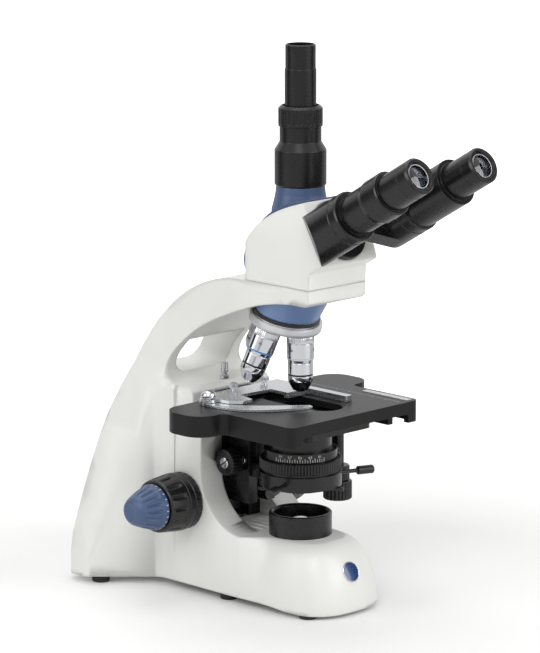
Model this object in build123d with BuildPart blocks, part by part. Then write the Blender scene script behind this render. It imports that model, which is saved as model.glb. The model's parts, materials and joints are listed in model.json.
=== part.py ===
from build123d import *
from math import asin, cos, pi, radians, sin, tan
import os

# A trinocular microscope in millimetres. The origin is on the optical axis at the table,
# +Z is up, the user sits at -Y and the user's right hand is at +X.

os.makedirs("parts", exist_ok=True)

# Clearances
running_gap = 0.3
stud_gap = 0.1
shaft_gap = 0.05

# Stand casting
foot_height = 6.0
base_depth = 48.7
base_half = 45.0
base_wall = 5.7
toe_y = -66.0
front_bulge = 11.0
toe_half = 20.0
flare_half = 88.0
kink_y = 111.0
flare_y = 154.0
stand_rear = 177.0
column_front = 66.0
column_blend = 45.5
platform_z = 164.0
platform_wall = 6.0
stage_recess_front = 76.0
stage_recess_z = 136.0
channel_half = 21.0
channel_back = 112.0
window_half = 22.0
window_low = 170.0
window_top = 213.0
nose_half = 31.5
nose_front = -39.0
nose_underside = 242.0
head_seam = 254.5
deck_z = foot_height + base_depth
hollow_length = 156.0
hollow_centre = 28.0
hollow_corner = 8.0
light_hole_radius = 13.0
slit_count = 7
slit_pitch = 7.5
slit_width = 2.5
slit_length = 26.0
slit_centre_y = 40.0

dovetail_radius = 22.0
dovetail_depth = 6.5
nose_bore = 9.0
spigot_radius = 17.0
lock_stem_radius = 1.6
lock_grip_radius = 3.2
stop_y = 84.0
stop_stem_radius = 2.0
stop_grip_radius = 3.0

# Feet and cover
foot_radius = 8.0
foot_taper = 1.0
rear_foot_x = 72.0
rear_foot_y = 152.0
middle_foot_x = 35.0
middle_foot_y = 44.0
front_foot_x = 33.0
front_foot_y = -42.0
cover_thickness = 2.0

# Lamp
collector_radius = 24.5
collector_height = 17.6
collector_bore = 21.0
collector_floor = 6.0
collector_lens_radius = 10.0
collector_lens_crown = 4.0
lamp_board_radius = 17.0
lamp_board_thickness = 2.0
lamp_fin_height = 14.0
lamp_fin_count = 5

# Controls on the base
dial_radius = 9.0
dial_length = 11.0
dial_y = 20.0
dial_z = 30.0
dial_shaft_radius = 3.0
panel_y = 171.0
panel_z = 31.0
panel_width = 66.0
panel_height = 30.0
switch_width = 13.0
switch_height = 19.0
switch_depth = 9.0
switch_x = -16.0
switch_swing = 7.0
inlet_x = 16.0
inlet_radius = 6.5
inlet_flange = 8.5
inlet_bore = 2.9
inlet_depth = 14.0

# Focus block and drive
housing_top = 134.0
drive_y = 85.0
drive_z = 73.5
coarse_shaft_radius = 7.0
fine_shaft_radius = 3.5
gear_module = 1.0
pinion_teeth = 18
tooth_backlash = 0.28
rack_width = 8.0
rack_low = 60.5
rack_length = 38.0
knob_recess = 24.5
tension_ring_radius = 22.5
tension_ring_width = 6.0
coarse_knob_radius = 23.0
coarse_knob_tip_radius = 20.5
coarse_knob_length = 24.0
coarse_flutes = 12
fine_knob_radius = 18.2
fine_knob_tip_radius = 10.0
fine_knob_length = 25.0
fine_flutes = 10

# Focus slide and stage
slide_half = 14.0
slide_front = 42.5
slide_low = 72.0
tongue_depth = 6.0
slide_top = 134.0
tongue_half = 9.0
stage_top_z = 158.7
stage_thickness = 16.5
stage_half = 70.0
stage_front = -60.0
stage_rear = 57.0
ear_half = 95.0
ear_front = 13.0
ear_radius = 17.0
stage_deck = 5.0
stage_skirt = 5.0
slot_half = 14.0
slot_length = 76.0
bracket_half = 41.0
bracket_front = -38.0
bracket_rear = 26.0
bracket_hole = 27.0
bracket_neck_half = 24.0
bracket_neck_depth = 7.6
guide_rib = 5.0
scale_x = 63.0
scale_width = 6.0
scale_length = 48.0

# Specimen holder
carriage_height = 2.2
carriage_left = -36.0
carriage_right = 22.0
carriage_front = 42.0
carriage_depth = 12.0
bridge_thickness = 2.4
bridge_left = -50.0
bridge_front = 33.0
bridge_rear = 55.0
rest_y = 14.0
bar_x = 22.5
bar_width = 7.0
bar_front = -27.0
finger_pivot_x = -57.0
finger_pivot_y = 43.0
finger_hub_radius = 7.0
finger_tip_x = -11.0
finger_tip_y = -23.0
finger_pin = 2.0

# Stage drive
stage_drive_x = 66.0
stage_drive_y = 24.0
stage_knob_low = 66.0
x_knob_radius = 11.5
x_knob_height = 15.0
y_knob_radius = 9.5
y_knob_height = 12.0
drive_tube_radius = 5.0

# Condenser
carrier_low = 94.0
carrier_height = 11.0
carrier_outer = 32.0
carrier_inner = 27.5
aperture_ring_radius = 32.0
aperture_ring_height = 8.5
scale_ring_radius = 28.5
scale_ring_height = 7.0
condenser_top_radius = 17.0
condenser_top_z = 151.0
condenser_knob_radius = 10.5
condenser_knob_length = 10.0
condenser_knob_y = 54.0
condenser_knob_z = 106.0
condenser_knob_x = 19.7
condenser_shaft_radius = 3.0
condenser_module = 0.8
condenser_teeth = 12
condenser_tongue_half = 5.0
condenser_tongue_low = 96.0
condenser_tongue_top = 126.0
condenser_bore = 13.0
screw_angle = 22.0
screw_reach = 62.0
screw_grip_radius = 3.4
screw_stem_radius = 1.6
screw_z = 99.5
filter_radius = 22.0
filter_bore = 17.0
filter_height = 2.6
filter_pivot_angle = 150.0

# Nosepiece and objectives
turret_tilt = 15.0
seat_circle = 17.5
seat_z = 212.5
turret_radius = 28.5
turret_rim = 7.5
turret_collar = 25.5
turret_height = 11.0
turret_clearance = 2.2
mount_top_radius = 27.0
mount_low_radius = 25.0
mount_centre_y = 4.0
stud_radius = 4.0
thread_radius = 9.4
thread_length = 4.0
objective_length = 45.2
middle_length = 36.0
short_length = 28.0
objective_radius = 10.0
lens_rim = 1.2
objective_bore = 6.5

# Head
head_half = 31.0
cover_half = 23.0
head_rear = 36.0
head_front = -40.0
tube_pitch = 30.0
pivot_y = -40.0
pivot_z = 297.7
pivot_radius = 24.0
arm_radius = 35.1
arm_droop = 10.7
arm_tube_radius = 20.0
arm_leg_depth = 13.5
diopter_low = 62.3
neck_top = 99.0
left_leg = 4.3
arm_length = 55.0
sleeve_radius = 9.0
sleeve_hub = 14.4
light_bore = 7.0
prism_size = 20.0
neck_radius = 15.0
diopter_radius = 17.4
diopter_length = 36.0
eyepiece_radius = 14.2
eyepiece_length = 31.0
eyepiece_barrel = 11.6

# Phototube
phototube_low = 328.0
phototube_radius = 19.9
phototube_neck = 16.0
cone_top = 361.9
tube_step_radius = 12.1
tube_step_z = 417.3
tube_low = 352.0
clamp_seat_radius = 14.0
clamp_ring_radius = 17.0
clamp_ring_height = 15.6
clamp_ring_low = 373.6
phototube_top = 436.0
port_radius = 11.6
port_bore = 10.3


def section(frame):
    # The half-plane through a frame's axis: radius to the right, height upwards.
    return Plane(origin=frame.origin, x_dir=frame.x_dir, z_dir=-frame.y_dir)


def turn(frame, points, mode=Mode.ADD):
    # A turned form round the frame's axis from (radius, height) points.
    with BuildSketch(section(frame)) as profile:
        with BuildLine():
            Polyline(*points, close=True)
        make_face()
    revolve(profile.sketch, axis=Axis(frame.origin, frame.z_dir), mode=mode)


def across(x_at, y_at, z_at, side):
    # A frame whose axis points out of the left (-1) or right (1) flank.
    return Plane(origin=(x_at, y_at, z_at), x_dir=(0, 1, 0), z_dir=(side, 0, 0))


# Frames and sizes that follow from the values above

hollow_width = 2 * (base_half - base_wall)
turret_lean = radians(turret_tilt)
turret_up = Vector(0, -sin(turret_lean), cos(turret_lean))
turret_out = Vector(0, cos(turret_lean), sin(turret_lean))
turret_centre = Vector(0, 0, seat_z) + turret_out * seat_circle
turret_frame = Plane(origin=turret_centre, x_dir=(1, 0, 0), z_dir=turret_up)
turret_room = turret_radius + turret_clearance
dovetail_floor = head_seam - dovetail_depth
lock_frame = across(nose_half, 4, head_seam - dovetail_depth / 2, 1)
stop_frame = Plane(origin=(0, stop_y, platform_z))
dial_frame = across(base_half, dial_y, dial_z, 1)
panel_frame = Plane(origin=(0, panel_y, panel_z), x_dir=(-1, 0, 0), z_dir=(0, 1, 0))
inlet_frame = Plane(origin=(inlet_x, panel_y, panel_z), x_dir=(-1, 0, 0), z_dir=(0, 1, 0))
pitch = radians(tube_pitch)
tube_out = Vector(0, -cos(pitch), sin(pitch))
tube_up = Vector(0, sin(pitch), cos(pitch))
pivot_point = Vector(0, pivot_y, pivot_z)
face_frame = Plane(origin=pivot_point, x_dir=(1, 0, 0), z_dir=tube_out)
tube_x = arm_radius * cos(radians(arm_droop))
tube_drop = arm_radius * sin(radians(arm_droop))

# Stand casting

rear_line = [(stand_rear, foot_height), (175, 62), (171, 95), (165, 124), (156, 150), (141, 182),
             (123, 210), (101, 232), (74, 247), (head_rear + 6, head_seam)]
throat_line = [(100, platform_z), (109, 171), (107, 181), (98, 193), (78, 210), (48, 225),
               (20, 235), (-20, nose_underside)]

with BuildPart() as stand_casting:
    # Front view of the flared rear, then of the column and nose
    with BuildSketch(Plane.XZ.offset(-95)):
        with BuildLine():
            Line((-flare_half, foot_height), (flare_half, foot_height))
            right = Spline((flare_half, foot_height), (77, 45), (65.5, 85), (55, 125), (45, 160),
                           (36, 188))
            Line(right @ 1, (-36, 188))
            Spline((-36, 188), (-45, 160), (-55, 125), (-65.5, 85), (-77, 45), (-flare_half, foot_height))
        make_face()
    extrude(amount=-(stand_rear + 5 - 95))
    with BuildSketch(Plane.XZ.offset(90)):
        with BuildLine():
            Line((-base_half, foot_height), (base_half, foot_height))
            right = Spline((base_half, foot_height), (44.4, 60), (42.6, 140), (39.5, 180),
                           (35, 212), (nose_half, nose_underside), (nose_half, head_seam))
            Line(right @ 1, (-nose_half, head_seam))
            Spline((-nose_half, head_seam), (-nose_half, nose_underside), (-35, 212),
                   (-39.5, 180), (-42.6, 140), (-44.4, 60), (-base_half, foot_height))
        make_face()
    extrude(amount=-(stand_rear + 5 + 90))
    # Plan: a rounded toe, straight flanks and a flare to the rear corners
    with BuildSketch(Plane.XY):
        with BuildLine():
            FilletPolyline((-toe_half, toe_y - front_bulge - 1), (toe_half, toe_y - front_bulge - 1),
                           (base_half, toe_y + 4), (base_half, kink_y), (flare_half, flare_y),
                           (flare_half, stand_rear), (-flare_half, stand_rear), (-flare_half, flare_y),
                           (-base_half, kink_y), (-base_half, toe_y + 4), radius=12, close=True)
        make_face()
    extrude(amount=head_seam + 10, mode=Mode.INTERSECT)
    # Side view with the toe, deck, throat and arm
    with BuildSketch(Plane.YZ):
        with BuildLine():
            toe = Spline((toe_y, foot_height), (toe_y - 9.4, 15.5), (toe_y - front_bulge, 24.5),
                         (toe_y - 9.3, 35), (toe_y - 3.7, 47.2), (toe_y + 8, deck_z),
                         tangents=((-1, 0.7), (1, 0.15)))
            deck = Line(toe @ 1, (column_front - column_blend, deck_z))
            blend = RadiusArc(deck @ 1, (column_front, deck_z + column_blend), -column_blend)
            rise = Line(blend @ 1, (column_front, stage_recess_z - 8))
            step = Line(rise @ 1, (stage_recess_front, stage_recess_z + 4))
            lip = Line(step @ 1, (stage_recess_front, platform_z - 4))
            edge = Line(lip @ 1, (stage_recess_front + 4, platform_z))
            Line(edge @ 1, throat_line[0])
            throat = Spline(*throat_line)
            nose = Line(throat @ 1, (nose_front + 3, nose_underside))
            tip = Line(nose @ 1, (nose_front, nose_underside + 3))
            brow = Line(tip @ 1, (nose_front, head_seam))
            Line(brow @ 1, rear_line[-1])
            rear = Spline(*reversed(rear_line))
            Line(rear @ 1, toe @ 0)
        make_face()
    extrude(amount=flare_half + 5, both=True, mode=Mode.INTERSECT)
    # Channel for the focus block, grip window and room for the turret
    with BuildSketch(Plane.XY.offset(deck_z)):
        with Locations((0, (channel_back + column_front - column_blend) / 2)):
            Rectangle(2 * channel_half, channel_back - column_front + column_blend)
    extrude(amount=platform_z - platform_wall - deck_z, mode=Mode.SUBTRACT)
    with BuildSketch(Plane.XZ.offset(-95)):
        with Locations((0, (window_low + window_top) / 2)):
            RectangleRounded(2 * window_half, window_top - window_low, 9)
    extrude(amount=-stand_rear, mode=Mode.SUBTRACT)
    # Hollow foot, light hole and cooling slits
    with BuildSketch(Plane.XY):
        with Locations((0, hollow_centre)):
            RectangleRounded(hollow_width, hollow_length, hollow_corner)
    extrude(amount=deck_z - base_wall, mode=Mode.SUBTRACT)
    with BuildSketch(Plane.XY.offset(deck_z)):
        Circle(light_hole_radius)
        with Locations((0, slit_centre_y)):
            with GridLocations(slit_pitch, 1, slit_count, 1):
                SlotOverall(slit_length, slit_width, rotation=90)
    extrude(amount=-base_wall, mode=Mode.SUBTRACT)
    # Slot for the rack's tail, bores for the drive and clear flats round the knobs
    with BuildSketch(Plane.XY.offset(deck_z)):
        with Locations((0, column_front + tongue_depth + 1)):
            Rectangle(2 * tongue_half + 2, 2 * tongue_depth)
    extrude(amount=-base_wall, mode=Mode.SUBTRACT)
    for side in (-1, 1):
        flank = across(side * (base_half + running_gap), drive_y, drive_z, side)
        turn(flank, [(0, 0), (knob_recess, 0), (knob_recess, flare_half), (0, flare_half)], Mode.SUBTRACT)
        turn(flank, [(0, -base_half), (coarse_shaft_radius + running_gap, -base_half),
                     (coarse_shaft_radius + running_gap, 0), (0, 0)], Mode.SUBTRACT)
    # Seat of the head's dovetail ring, light path and room for the turning nosepiece
    turn(Plane.XY,
         [(0, head_seam), (dovetail_radius, head_seam), (dovetail_radius, dovetail_floor),
          (nose_bore, dovetail_floor), (nose_bore, nose_underside - 30), (0, nose_underside - 30)],
         Mode.SUBTRACT)
    turn(turret_frame,
         [(0, -turret_radius / 2), (turret_room, -turret_radius / 2),
          (turret_room, turret_rim + turret_clearance),
          (turret_collar + 1, turret_rim + turret_clearance), (turret_collar + 1, turret_height + 1),
          (0, turret_height + 1)], Mode.SUBTRACT)
    with BuildSketch(Plane(origin=(0, mount_centre_y, nose_underside))):
        Circle(mount_top_radius + running_gap)
    with BuildSketch(turret_frame.offset(turret_height)):
        Circle(mount_low_radius + running_gap)
    loft(mode=Mode.SUBTRACT)
    # Holes for the head's lock screw, the stage stop, the lamp dial and the rear panel
    turn(lock_frame, [(0, -nose_half), (lock_stem_radius + shaft_gap, -nose_half),
                      (lock_stem_radius + shaft_gap, 1), (0, 1)], Mode.SUBTRACT)
    turn(stop_frame, [(0, -platform_wall - 1), (stop_stem_radius + shaft_gap, -platform_wall - 1),
                      (stop_stem_radius + shaft_gap, 1), (0, 1)], Mode.SUBTRACT)
    turn(dial_frame, [(0, -base_wall - 2), (dial_shaft_radius + shaft_gap, -base_wall - 2),
                      (dial_shaft_radius + shaft_gap, 2), (0, 2)], Mode.SUBTRACT)
    with BuildSketch(panel_frame):
        RectangleRounded(panel_width, panel_height, 4)
    extrude(amount=stand_rear, mode=Mode.SUBTRACT)
    with BuildSketch(panel_frame):
        with Locations((-switch_x, 0)):
            Rectangle(switch_width + 2 * running_gap, switch_height + 2)
    extrude(amount=-switch_depth - 6, mode=Mode.SUBTRACT)
    turn(inlet_frame, [(0, -inlet_depth), (inlet_radius + shaft_gap, -inlet_depth),
                       (inlet_radius + shaft_gap, 1), (0, 1)], Mode.SUBTRACT)
stand_casting.part.label = "stand_casting"
export_step(stand_casting.part, "parts/stand_casting.step")

# Under the foot: closing plate and rubber feet

with BuildPart() as bottom_cover:
    with BuildSketch(Plane.XY.offset(foot_height)):
        with Locations((0, hollow_centre)):
            RectangleRounded(hollow_width - 2 * running_gap, hollow_length - 2 * running_gap,
                             hollow_corner)
    extrude(amount=cover_thickness)
    with BuildSketch(Plane.XY.offset(foot_height)):
        with Locations((0, hollow_centre)):
            with GridLocations(10, 1, 5, 1):
                SlotOverall(30, 3, rotation=90)
    extrude(amount=cover_thickness, mode=Mode.SUBTRACT)
bottom_cover.part.label = "bottom_cover"
export_step(bottom_cover.part, "parts/bottom_cover.step")

with BuildPart() as rubber_feet:
    for side in (-1, 1):
        for x_at, y_at in ((rear_foot_x, rear_foot_y), (middle_foot_x, middle_foot_y),
                           (front_foot_x, front_foot_y)):
            turn(Plane(origin=(side * x_at, y_at, 0)),
                 [(0, 0), (foot_radius - foot_taper, 0), (foot_radius, foot_height), (0, foot_height)])
rubber_feet.part.label = "rubber_feet"
export_step(rubber_feet.part, "parts/rubber_feet.step")

# Lamp: collector ring and lens on the deck, board and fins in the foot

lens_seat = deck_z - 2
collector_top = deck_z + collector_height
with BuildPart() as collector_ring:
    turn(Plane.XY,
         [(collector_lens_radius - 1.5, lens_seat - 2), (light_hole_radius - shaft_gap, lens_seat - 2),
          (light_hole_radius - shaft_gap, deck_z), (collector_radius, deck_z),
          (collector_radius, collector_top - 1), (collector_radius - 1, collector_top),
          (collector_bore + 1.4, collector_top), (collector_bore, collector_top - 1.6),
          (collector_bore, deck_z + collector_floor),
          (collector_lens_radius + shaft_gap, deck_z + collector_floor),
          (collector_lens_radius + shaft_gap, lens_seat), (collector_lens_radius - 1.5, lens_seat)])
collector_ring.part.label = "collector_ring"
export_step(collector_ring.part, "parts/collector_ring.step")


def lens(frame, radius, edge, crown):
    # A flat-backed lens on the frame's plane, its bulge towards the frame's axis end.
    ball = (radius ** 2 + crown ** 2) / (2 * crown)
    middle = asin(radius / ball) / 2
    with BuildSketch(section(frame)) as profile:
        with BuildLine():
            Polyline((0, edge + crown), (0, 0), (radius, 0), (radius, edge))
            ThreePointArc((radius, edge), (ball * sin(middle), edge + crown - ball * (1 - cos(middle))),
                          (0, edge + crown))
        make_face()
    revolve(profile.sketch, axis=Axis(frame.origin, frame.z_dir))


with BuildPart() as collector_lens:
    lens(Plane.XY.offset(lens_seat), collector_lens_radius, 4, collector_lens_crown)
collector_lens.part.label = "collector_lens"
export_step(collector_lens.part, "parts/collector_lens.step")

lamp_z = deck_z - base_wall
with BuildPart() as led_module:
    turn(Plane.XY,
         [(0, lamp_z - lamp_board_thickness), (lamp_board_radius, lamp_z - lamp_board_thickness),
          (lamp_board_radius, lamp_z), (2.4, lamp_z), (2, lamp_z + 1), (0, lamp_z + 1.4)])
    with BuildSketch(Plane.XY.offset(lamp_z - lamp_board_thickness)):
        with GridLocations(5, 1, lamp_fin_count, 1):
            Rectangle(1.6, 22)
        Rectangle(23, 3)
    extrude(amount=-lamp_fin_height)
led_module.part.label = "led_module"
export_step(led_module.part, "parts/led_module.step")

# Rear panel and side dial

with BuildPart() as power_inlet:
    turn(inlet_frame,
         [(inlet_bore, -inlet_depth + 3), (inlet_bore, 1.5), (inlet_flange, 1.5), (inlet_flange, 0),
          (inlet_radius, 0), (inlet_radius, -inlet_depth), (0, -inlet_depth), (0, -inlet_depth + 3)])
power_inlet.part.label = "power_inlet"
export_step(power_inlet.part, "parts/power_inlet.step")

rocker_lean = radians(switch_swing)
rocker_out = Vector(0, cos(rocker_lean), sin(rocker_lean))
rocker_plane = Plane(origin=Vector(switch_x, panel_y - 4, panel_z), x_dir=rocker_out, z_dir=(1, 0, 0))
with BuildPart() as power_switch:
    with BuildSketch(rocker_plane):
        with BuildLine():
            Polyline((-3, switch_height / 2 - 1.5), (6.5, switch_height / 2), (4.6, 0),
                     (6.5, -switch_height / 2), (-3, -switch_height / 2 + 1.5), close=True)
        make_face()
    extrude(amount=switch_width / 2, both=True)
    with Locations(rocker_plane):
        Cylinder(1.5, switch_width + 2 * running_gap)
power_switch.part.label = "power_switch"
export_step(power_switch.part, "parts/power_switch.step")

with BuildPart() as brightness_dial:
    turn(dial_frame,
         [(0, -base_wall - 1), (dial_shaft_radius, -base_wall - 1), (dial_shaft_radius, running_gap),
          (dial_radius, running_gap), (dial_radius - 0.6, dial_length - 1.2),
          (dial_radius - 1.8, dial_length), (0, dial_length)])
    with BuildSketch(dial_frame.offset(running_gap)):
        with PolarLocations(dial_radius + 0.5, 16):
            Circle(1.0)
    extrude(amount=dial_length, mode=Mode.SUBTRACT)
brightness_dial.part.label = "brightness_dial"
export_step(brightness_dial.part, "parts/brightness_dial.step")

# Gears: a pinion round a cross shaft and the rack that it drives


def tooth(module, at_pitch, tip, root):
    # A tooth's outline across its pitch point, pointing to +X, thinned by the backlash.
    half = module * pi / 4 - tooth_backlash / 2
    lean = tan(radians(20))
    return [(at_pitch + root, half - root * lean), (at_pitch + tip, half - tip * lean),
            (at_pitch + tip, -half + tip * lean), (at_pitch + root, -half + root * lean)]


def pinion(frame, module, teeth, width):
    # Teeth on a hub, with a gap facing the frame's -X direction.
    radius = module * teeth / 2
    with BuildSketch(frame.offset(-width / 2)) as outline:
        Circle(radius - 1.25 * module)
        with PolarLocations(0, teeth, start_angle=180 / teeth):
            Polygon(*tooth(module, radius, 0.9 * module, -1.5 * module), align=None)
    extrude(outline.sketch, amount=width)


def rack(frame, module, low, high, width, back):
    # A bar from low to high along the frame's Y with teeth pointing to +X, one of them at the origin.
    step = pi * module
    with BuildSketch(frame.offset(-width / 2)) as outline:
        with Locations((-1.2 * module - back / 2, (low + high) / 2)):
            Rectangle(back, high - low)
        with Locations(*[(0, step * count) for count in range(int(low / step), int(high / step) + 1)]):
            Polygon(*tooth(module, 0, 0.9 * module, -1.5 * module), align=None)
    extrude(outline.sketch, amount=width)


def tube(frame, outer, inner, low, high, mode=Mode.ADD):
    # A plain turned ring or, with no inner radius, a cylinder between two heights.
    turn(frame, [(inner, low), (outer, low), (outer, high), (inner, high)], mode)


# Focus block in the channel, with its bores for the drive and a groove for the slide

drive_frame = Plane(origin=(0, drive_y, drive_z), x_dir=(0, 1, 0), z_dir=(1, 0, 0))
pitch_radius = gear_module * pinion_teeth / 2
rack_y = drive_y - pitch_radius
groove_back = column_front + tongue_depth + running_gap
with BuildPart() as focus_housing:
    with BuildSketch(Plane.XY.offset(deck_z)):
        with Locations((0, (column_front + channel_back) / 2)):
            Rectangle(2 * channel_half - 2 * shaft_gap, channel_back - column_front)
    extrude(amount=housing_top - deck_z)
    chamfer(focus_housing.edges().filter_by(Axis.X).group_by(Axis.Z)[-1], 3)
    with BuildSketch(Plane.XY.offset(deck_z)):
        with BuildLine():
            Polyline((-tongue_half - 1 - running_gap, groove_back),
                     (tongue_half + 1 + running_gap, groove_back),
                     (tongue_half - 1 + running_gap, column_front),
                     (-tongue_half + 1 - running_gap, column_front), close=True)
        make_face()
        with Locations((0, (column_front + rack_y + gear_module + 0.7) / 2)):
            Rectangle(rack_width + 2 * running_gap + 0.4, rack_y + gear_module + 0.7 - column_front)
    extrude(amount=housing_top - deck_z, mode=Mode.SUBTRACT)
    turn(drive_frame, [(0, -channel_half), (coarse_shaft_radius + shaft_gap, -channel_half),
                       (coarse_shaft_radius + shaft_gap, -rack_width), (pitch_radius + 1.6, -rack_width),
                       (pitch_radius + 1.6, rack_width), (coarse_shaft_radius + shaft_gap, rack_width),
                       (coarse_shaft_radius + shaft_gap, channel_half), (0, channel_half)], Mode.SUBTRACT)
focus_housing.part.label = "focus_housing"
export_step(focus_housing.part, "parts/focus_housing.step")

# Screws that the hand turns: stage stop and head lock

with BuildPart() as stage_stop_screw:
    turn(stop_frame,
         [(0, -platform_wall - 8), (stop_stem_radius, -platform_wall - 8), (stop_stem_radius, 0.6),
          (stop_grip_radius + 0.6, 0.6), (stop_grip_radius + 0.6, 3), (stop_stem_radius, 3.6),
          (stop_stem_radius, 5), (stop_grip_radius, 5.4), (stop_grip_radius, 12.4),
          (stop_grip_radius - 0.6, 13), (0, 13)])
stage_stop_screw.part.label = "stage_stop_screw"
export_step(stage_stop_screw.part, "parts/stage_stop_screw.step")

with BuildPart() as head_lock_screw:
    turn(lock_frame,
         [(0, dovetail_radius - nose_half + 0.5), (lock_stem_radius, dovetail_radius - nose_half + 0.5),
          (lock_stem_radius, 1.2), (lock_grip_radius, 1.2), (lock_grip_radius, 9),
          (lock_grip_radius - 0.8, 10), (0, 10)])
head_lock_screw.part.label = "head_lock_screw"
export_step(head_lock_screw.part, "parts/head_lock_screw.step")

with BuildPart() as head_dovetail_ring:
    turn(Plane.XY,
         [(spigot_radius + shaft_gap, head_seam - 0.1), (dovetail_radius - shaft_gap, head_seam - 0.1),
          (dovetail_radius - shaft_gap, dovetail_floor), (spigot_radius - 2, dovetail_floor),
          (spigot_radius - 2, dovetail_floor + 1.5), (spigot_radius + shaft_gap, dovetail_floor + 1.5)])
head_dovetail_ring.part.label = "head_dovetail_ring"
export_step(head_dovetail_ring.part, "parts/head_dovetail_ring.step")

# Coaxial focus drive

ring_face = base_half + running_gap
knob_face = ring_face + tension_ring_width + running_gap
fine_face = knob_face + coarse_knob_length + running_gap

with BuildPart() as coarse_shaft:
    turn(drive_frame,
         [(fine_shaft_radius + shaft_gap, -fine_face + 1), (coarse_shaft_radius, -fine_face + 1),
          (coarse_shaft_radius, fine_face - 1), (fine_shaft_radius + shaft_gap, fine_face - 1)])
    pinion(drive_frame, gear_module, pinion_teeth, rack_width)
    turn(drive_frame, [(0, -rack_width), (fine_shaft_radius + shaft_gap, -rack_width),
                       (fine_shaft_radius + shaft_gap, rack_width), (0, rack_width)], Mode.SUBTRACT)
coarse_shaft.part.label = "coarse_shaft"
export_step(coarse_shaft.part, "parts/coarse_shaft.step")

with BuildPart() as tension_ring:
    left_ring = across(-ring_face, drive_y, drive_z, -1)
    turn(left_ring,
         [(coarse_shaft_radius + shaft_gap, 0), (tension_ring_radius, 0),
          (tension_ring_radius, tension_ring_width - 0.8),
          (tension_ring_radius - 0.8, tension_ring_width),
          (coarse_shaft_radius + shaft_gap, tension_ring_width)])
    with BuildSketch(left_ring):
        with PolarLocations(tension_ring_radius + 0.9, 24):
            Circle(1.3)
    extrude(amount=tension_ring_width, mode=Mode.SUBTRACT)
tension_ring.part.label = "tension_ring"
export_step(tension_ring.part, "parts/tension_ring.step")

for side, name in ((-1, "coarse_knob_left"), (1, "coarse_knob_right")):
    knob_frame = across(side * knob_face, drive_y, drive_z, side)
    with BuildPart() as coarse_knob:
        turn(knob_frame, [(coarse_shaft_radius + shaft_gap, 0), (coarse_knob_radius - 0.8, 0),
                          (coarse_knob_radius, 0.8), (coarse_knob_radius, 4),
                          (coarse_knob_tip_radius, coarse_knob_length - 1),
                          (coarse_knob_tip_radius - 1, coarse_knob_length),
                          (coarse_shaft_radius + shaft_gap, coarse_knob_length)])
        with BuildSketch(knob_frame.offset(5)):
            with PolarLocations(coarse_knob_radius + 0.6, coarse_flutes):
                Ellipse(1.7, 2.4)
        extrude(amount=coarse_knob_length, mode=Mode.SUBTRACT)
        # The right knob's hub fills the place that the tension ring takes on the left
        if side > 0:
            tube(knob_frame, coarse_shaft_radius + 5, coarse_shaft_radius + shaft_gap,
                 -tension_ring_width, 0)
    coarse_knob.part.label = name
    export_step(coarse_knob.part, f"parts/{name}.step")

with BuildPart() as fine_shaft:
    turn(drive_frame,
         [(0, -fine_face - fine_knob_length / 2), (fine_shaft_radius, -fine_face - fine_knob_length / 2),
          (fine_shaft_radius, fine_face + fine_knob_length / 2), (0, fine_face + fine_knob_length / 2)])
fine_shaft.part.label = "fine_shaft"
export_step(fine_shaft.part, "parts/fine_shaft.step")

for side, name in ((-1, "fine_knob_left"), (1, "fine_knob_right")):
    knob_frame = across(side * fine_face, drive_y, drive_z, side)
    with BuildPart() as fine_knob:
        with BuildSketch(section(knob_frame)) as profile:
            with BuildLine():
                dome = Spline((fine_knob_radius, 4), (fine_knob_radius - 2.2, fine_knob_length * 0.55),
                              (fine_knob_tip_radius, fine_knob_length), tangents=((0, 1), (-1, 0.6)))
                Polyline(dome @ 1, (fine_knob_tip_radius - 1.5, fine_knob_length - 0.4),
                         (0, fine_knob_length - 2.2), (0, fine_knob_length / 2),
                         (fine_shaft_radius + shaft_gap, fine_knob_length / 2),
                         (fine_shaft_radius + shaft_gap, 0), (fine_knob_radius, 0),
                         (fine_knob_radius, 4))
            make_face()
        revolve(profile.sketch, axis=Axis(knob_frame.origin, knob_frame.z_dir))
        for count in range(fine_flutes):
            facing = knob_frame.rotated((0, 0, count * 360 / fine_flutes))
            slope = (facing.x_dir * (fine_knob_tip_radius - fine_knob_radius)
                     + facing.z_dir * fine_knob_length)
            flute = Plane(origin=facing.origin + facing.x_dir * (fine_knob_radius + 2.6) + facing.z_dir * 7,
                          x_dir=facing.y_dir, z_dir=slope)
            tube(flute, 3, 0, 0, fine_knob_length, Mode.SUBTRACT)
    fine_knob.part.label = name
    export_step(fine_knob.part, f"parts/{name}.step")

# Focus slide with its rack, and the bracket under the stage

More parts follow.
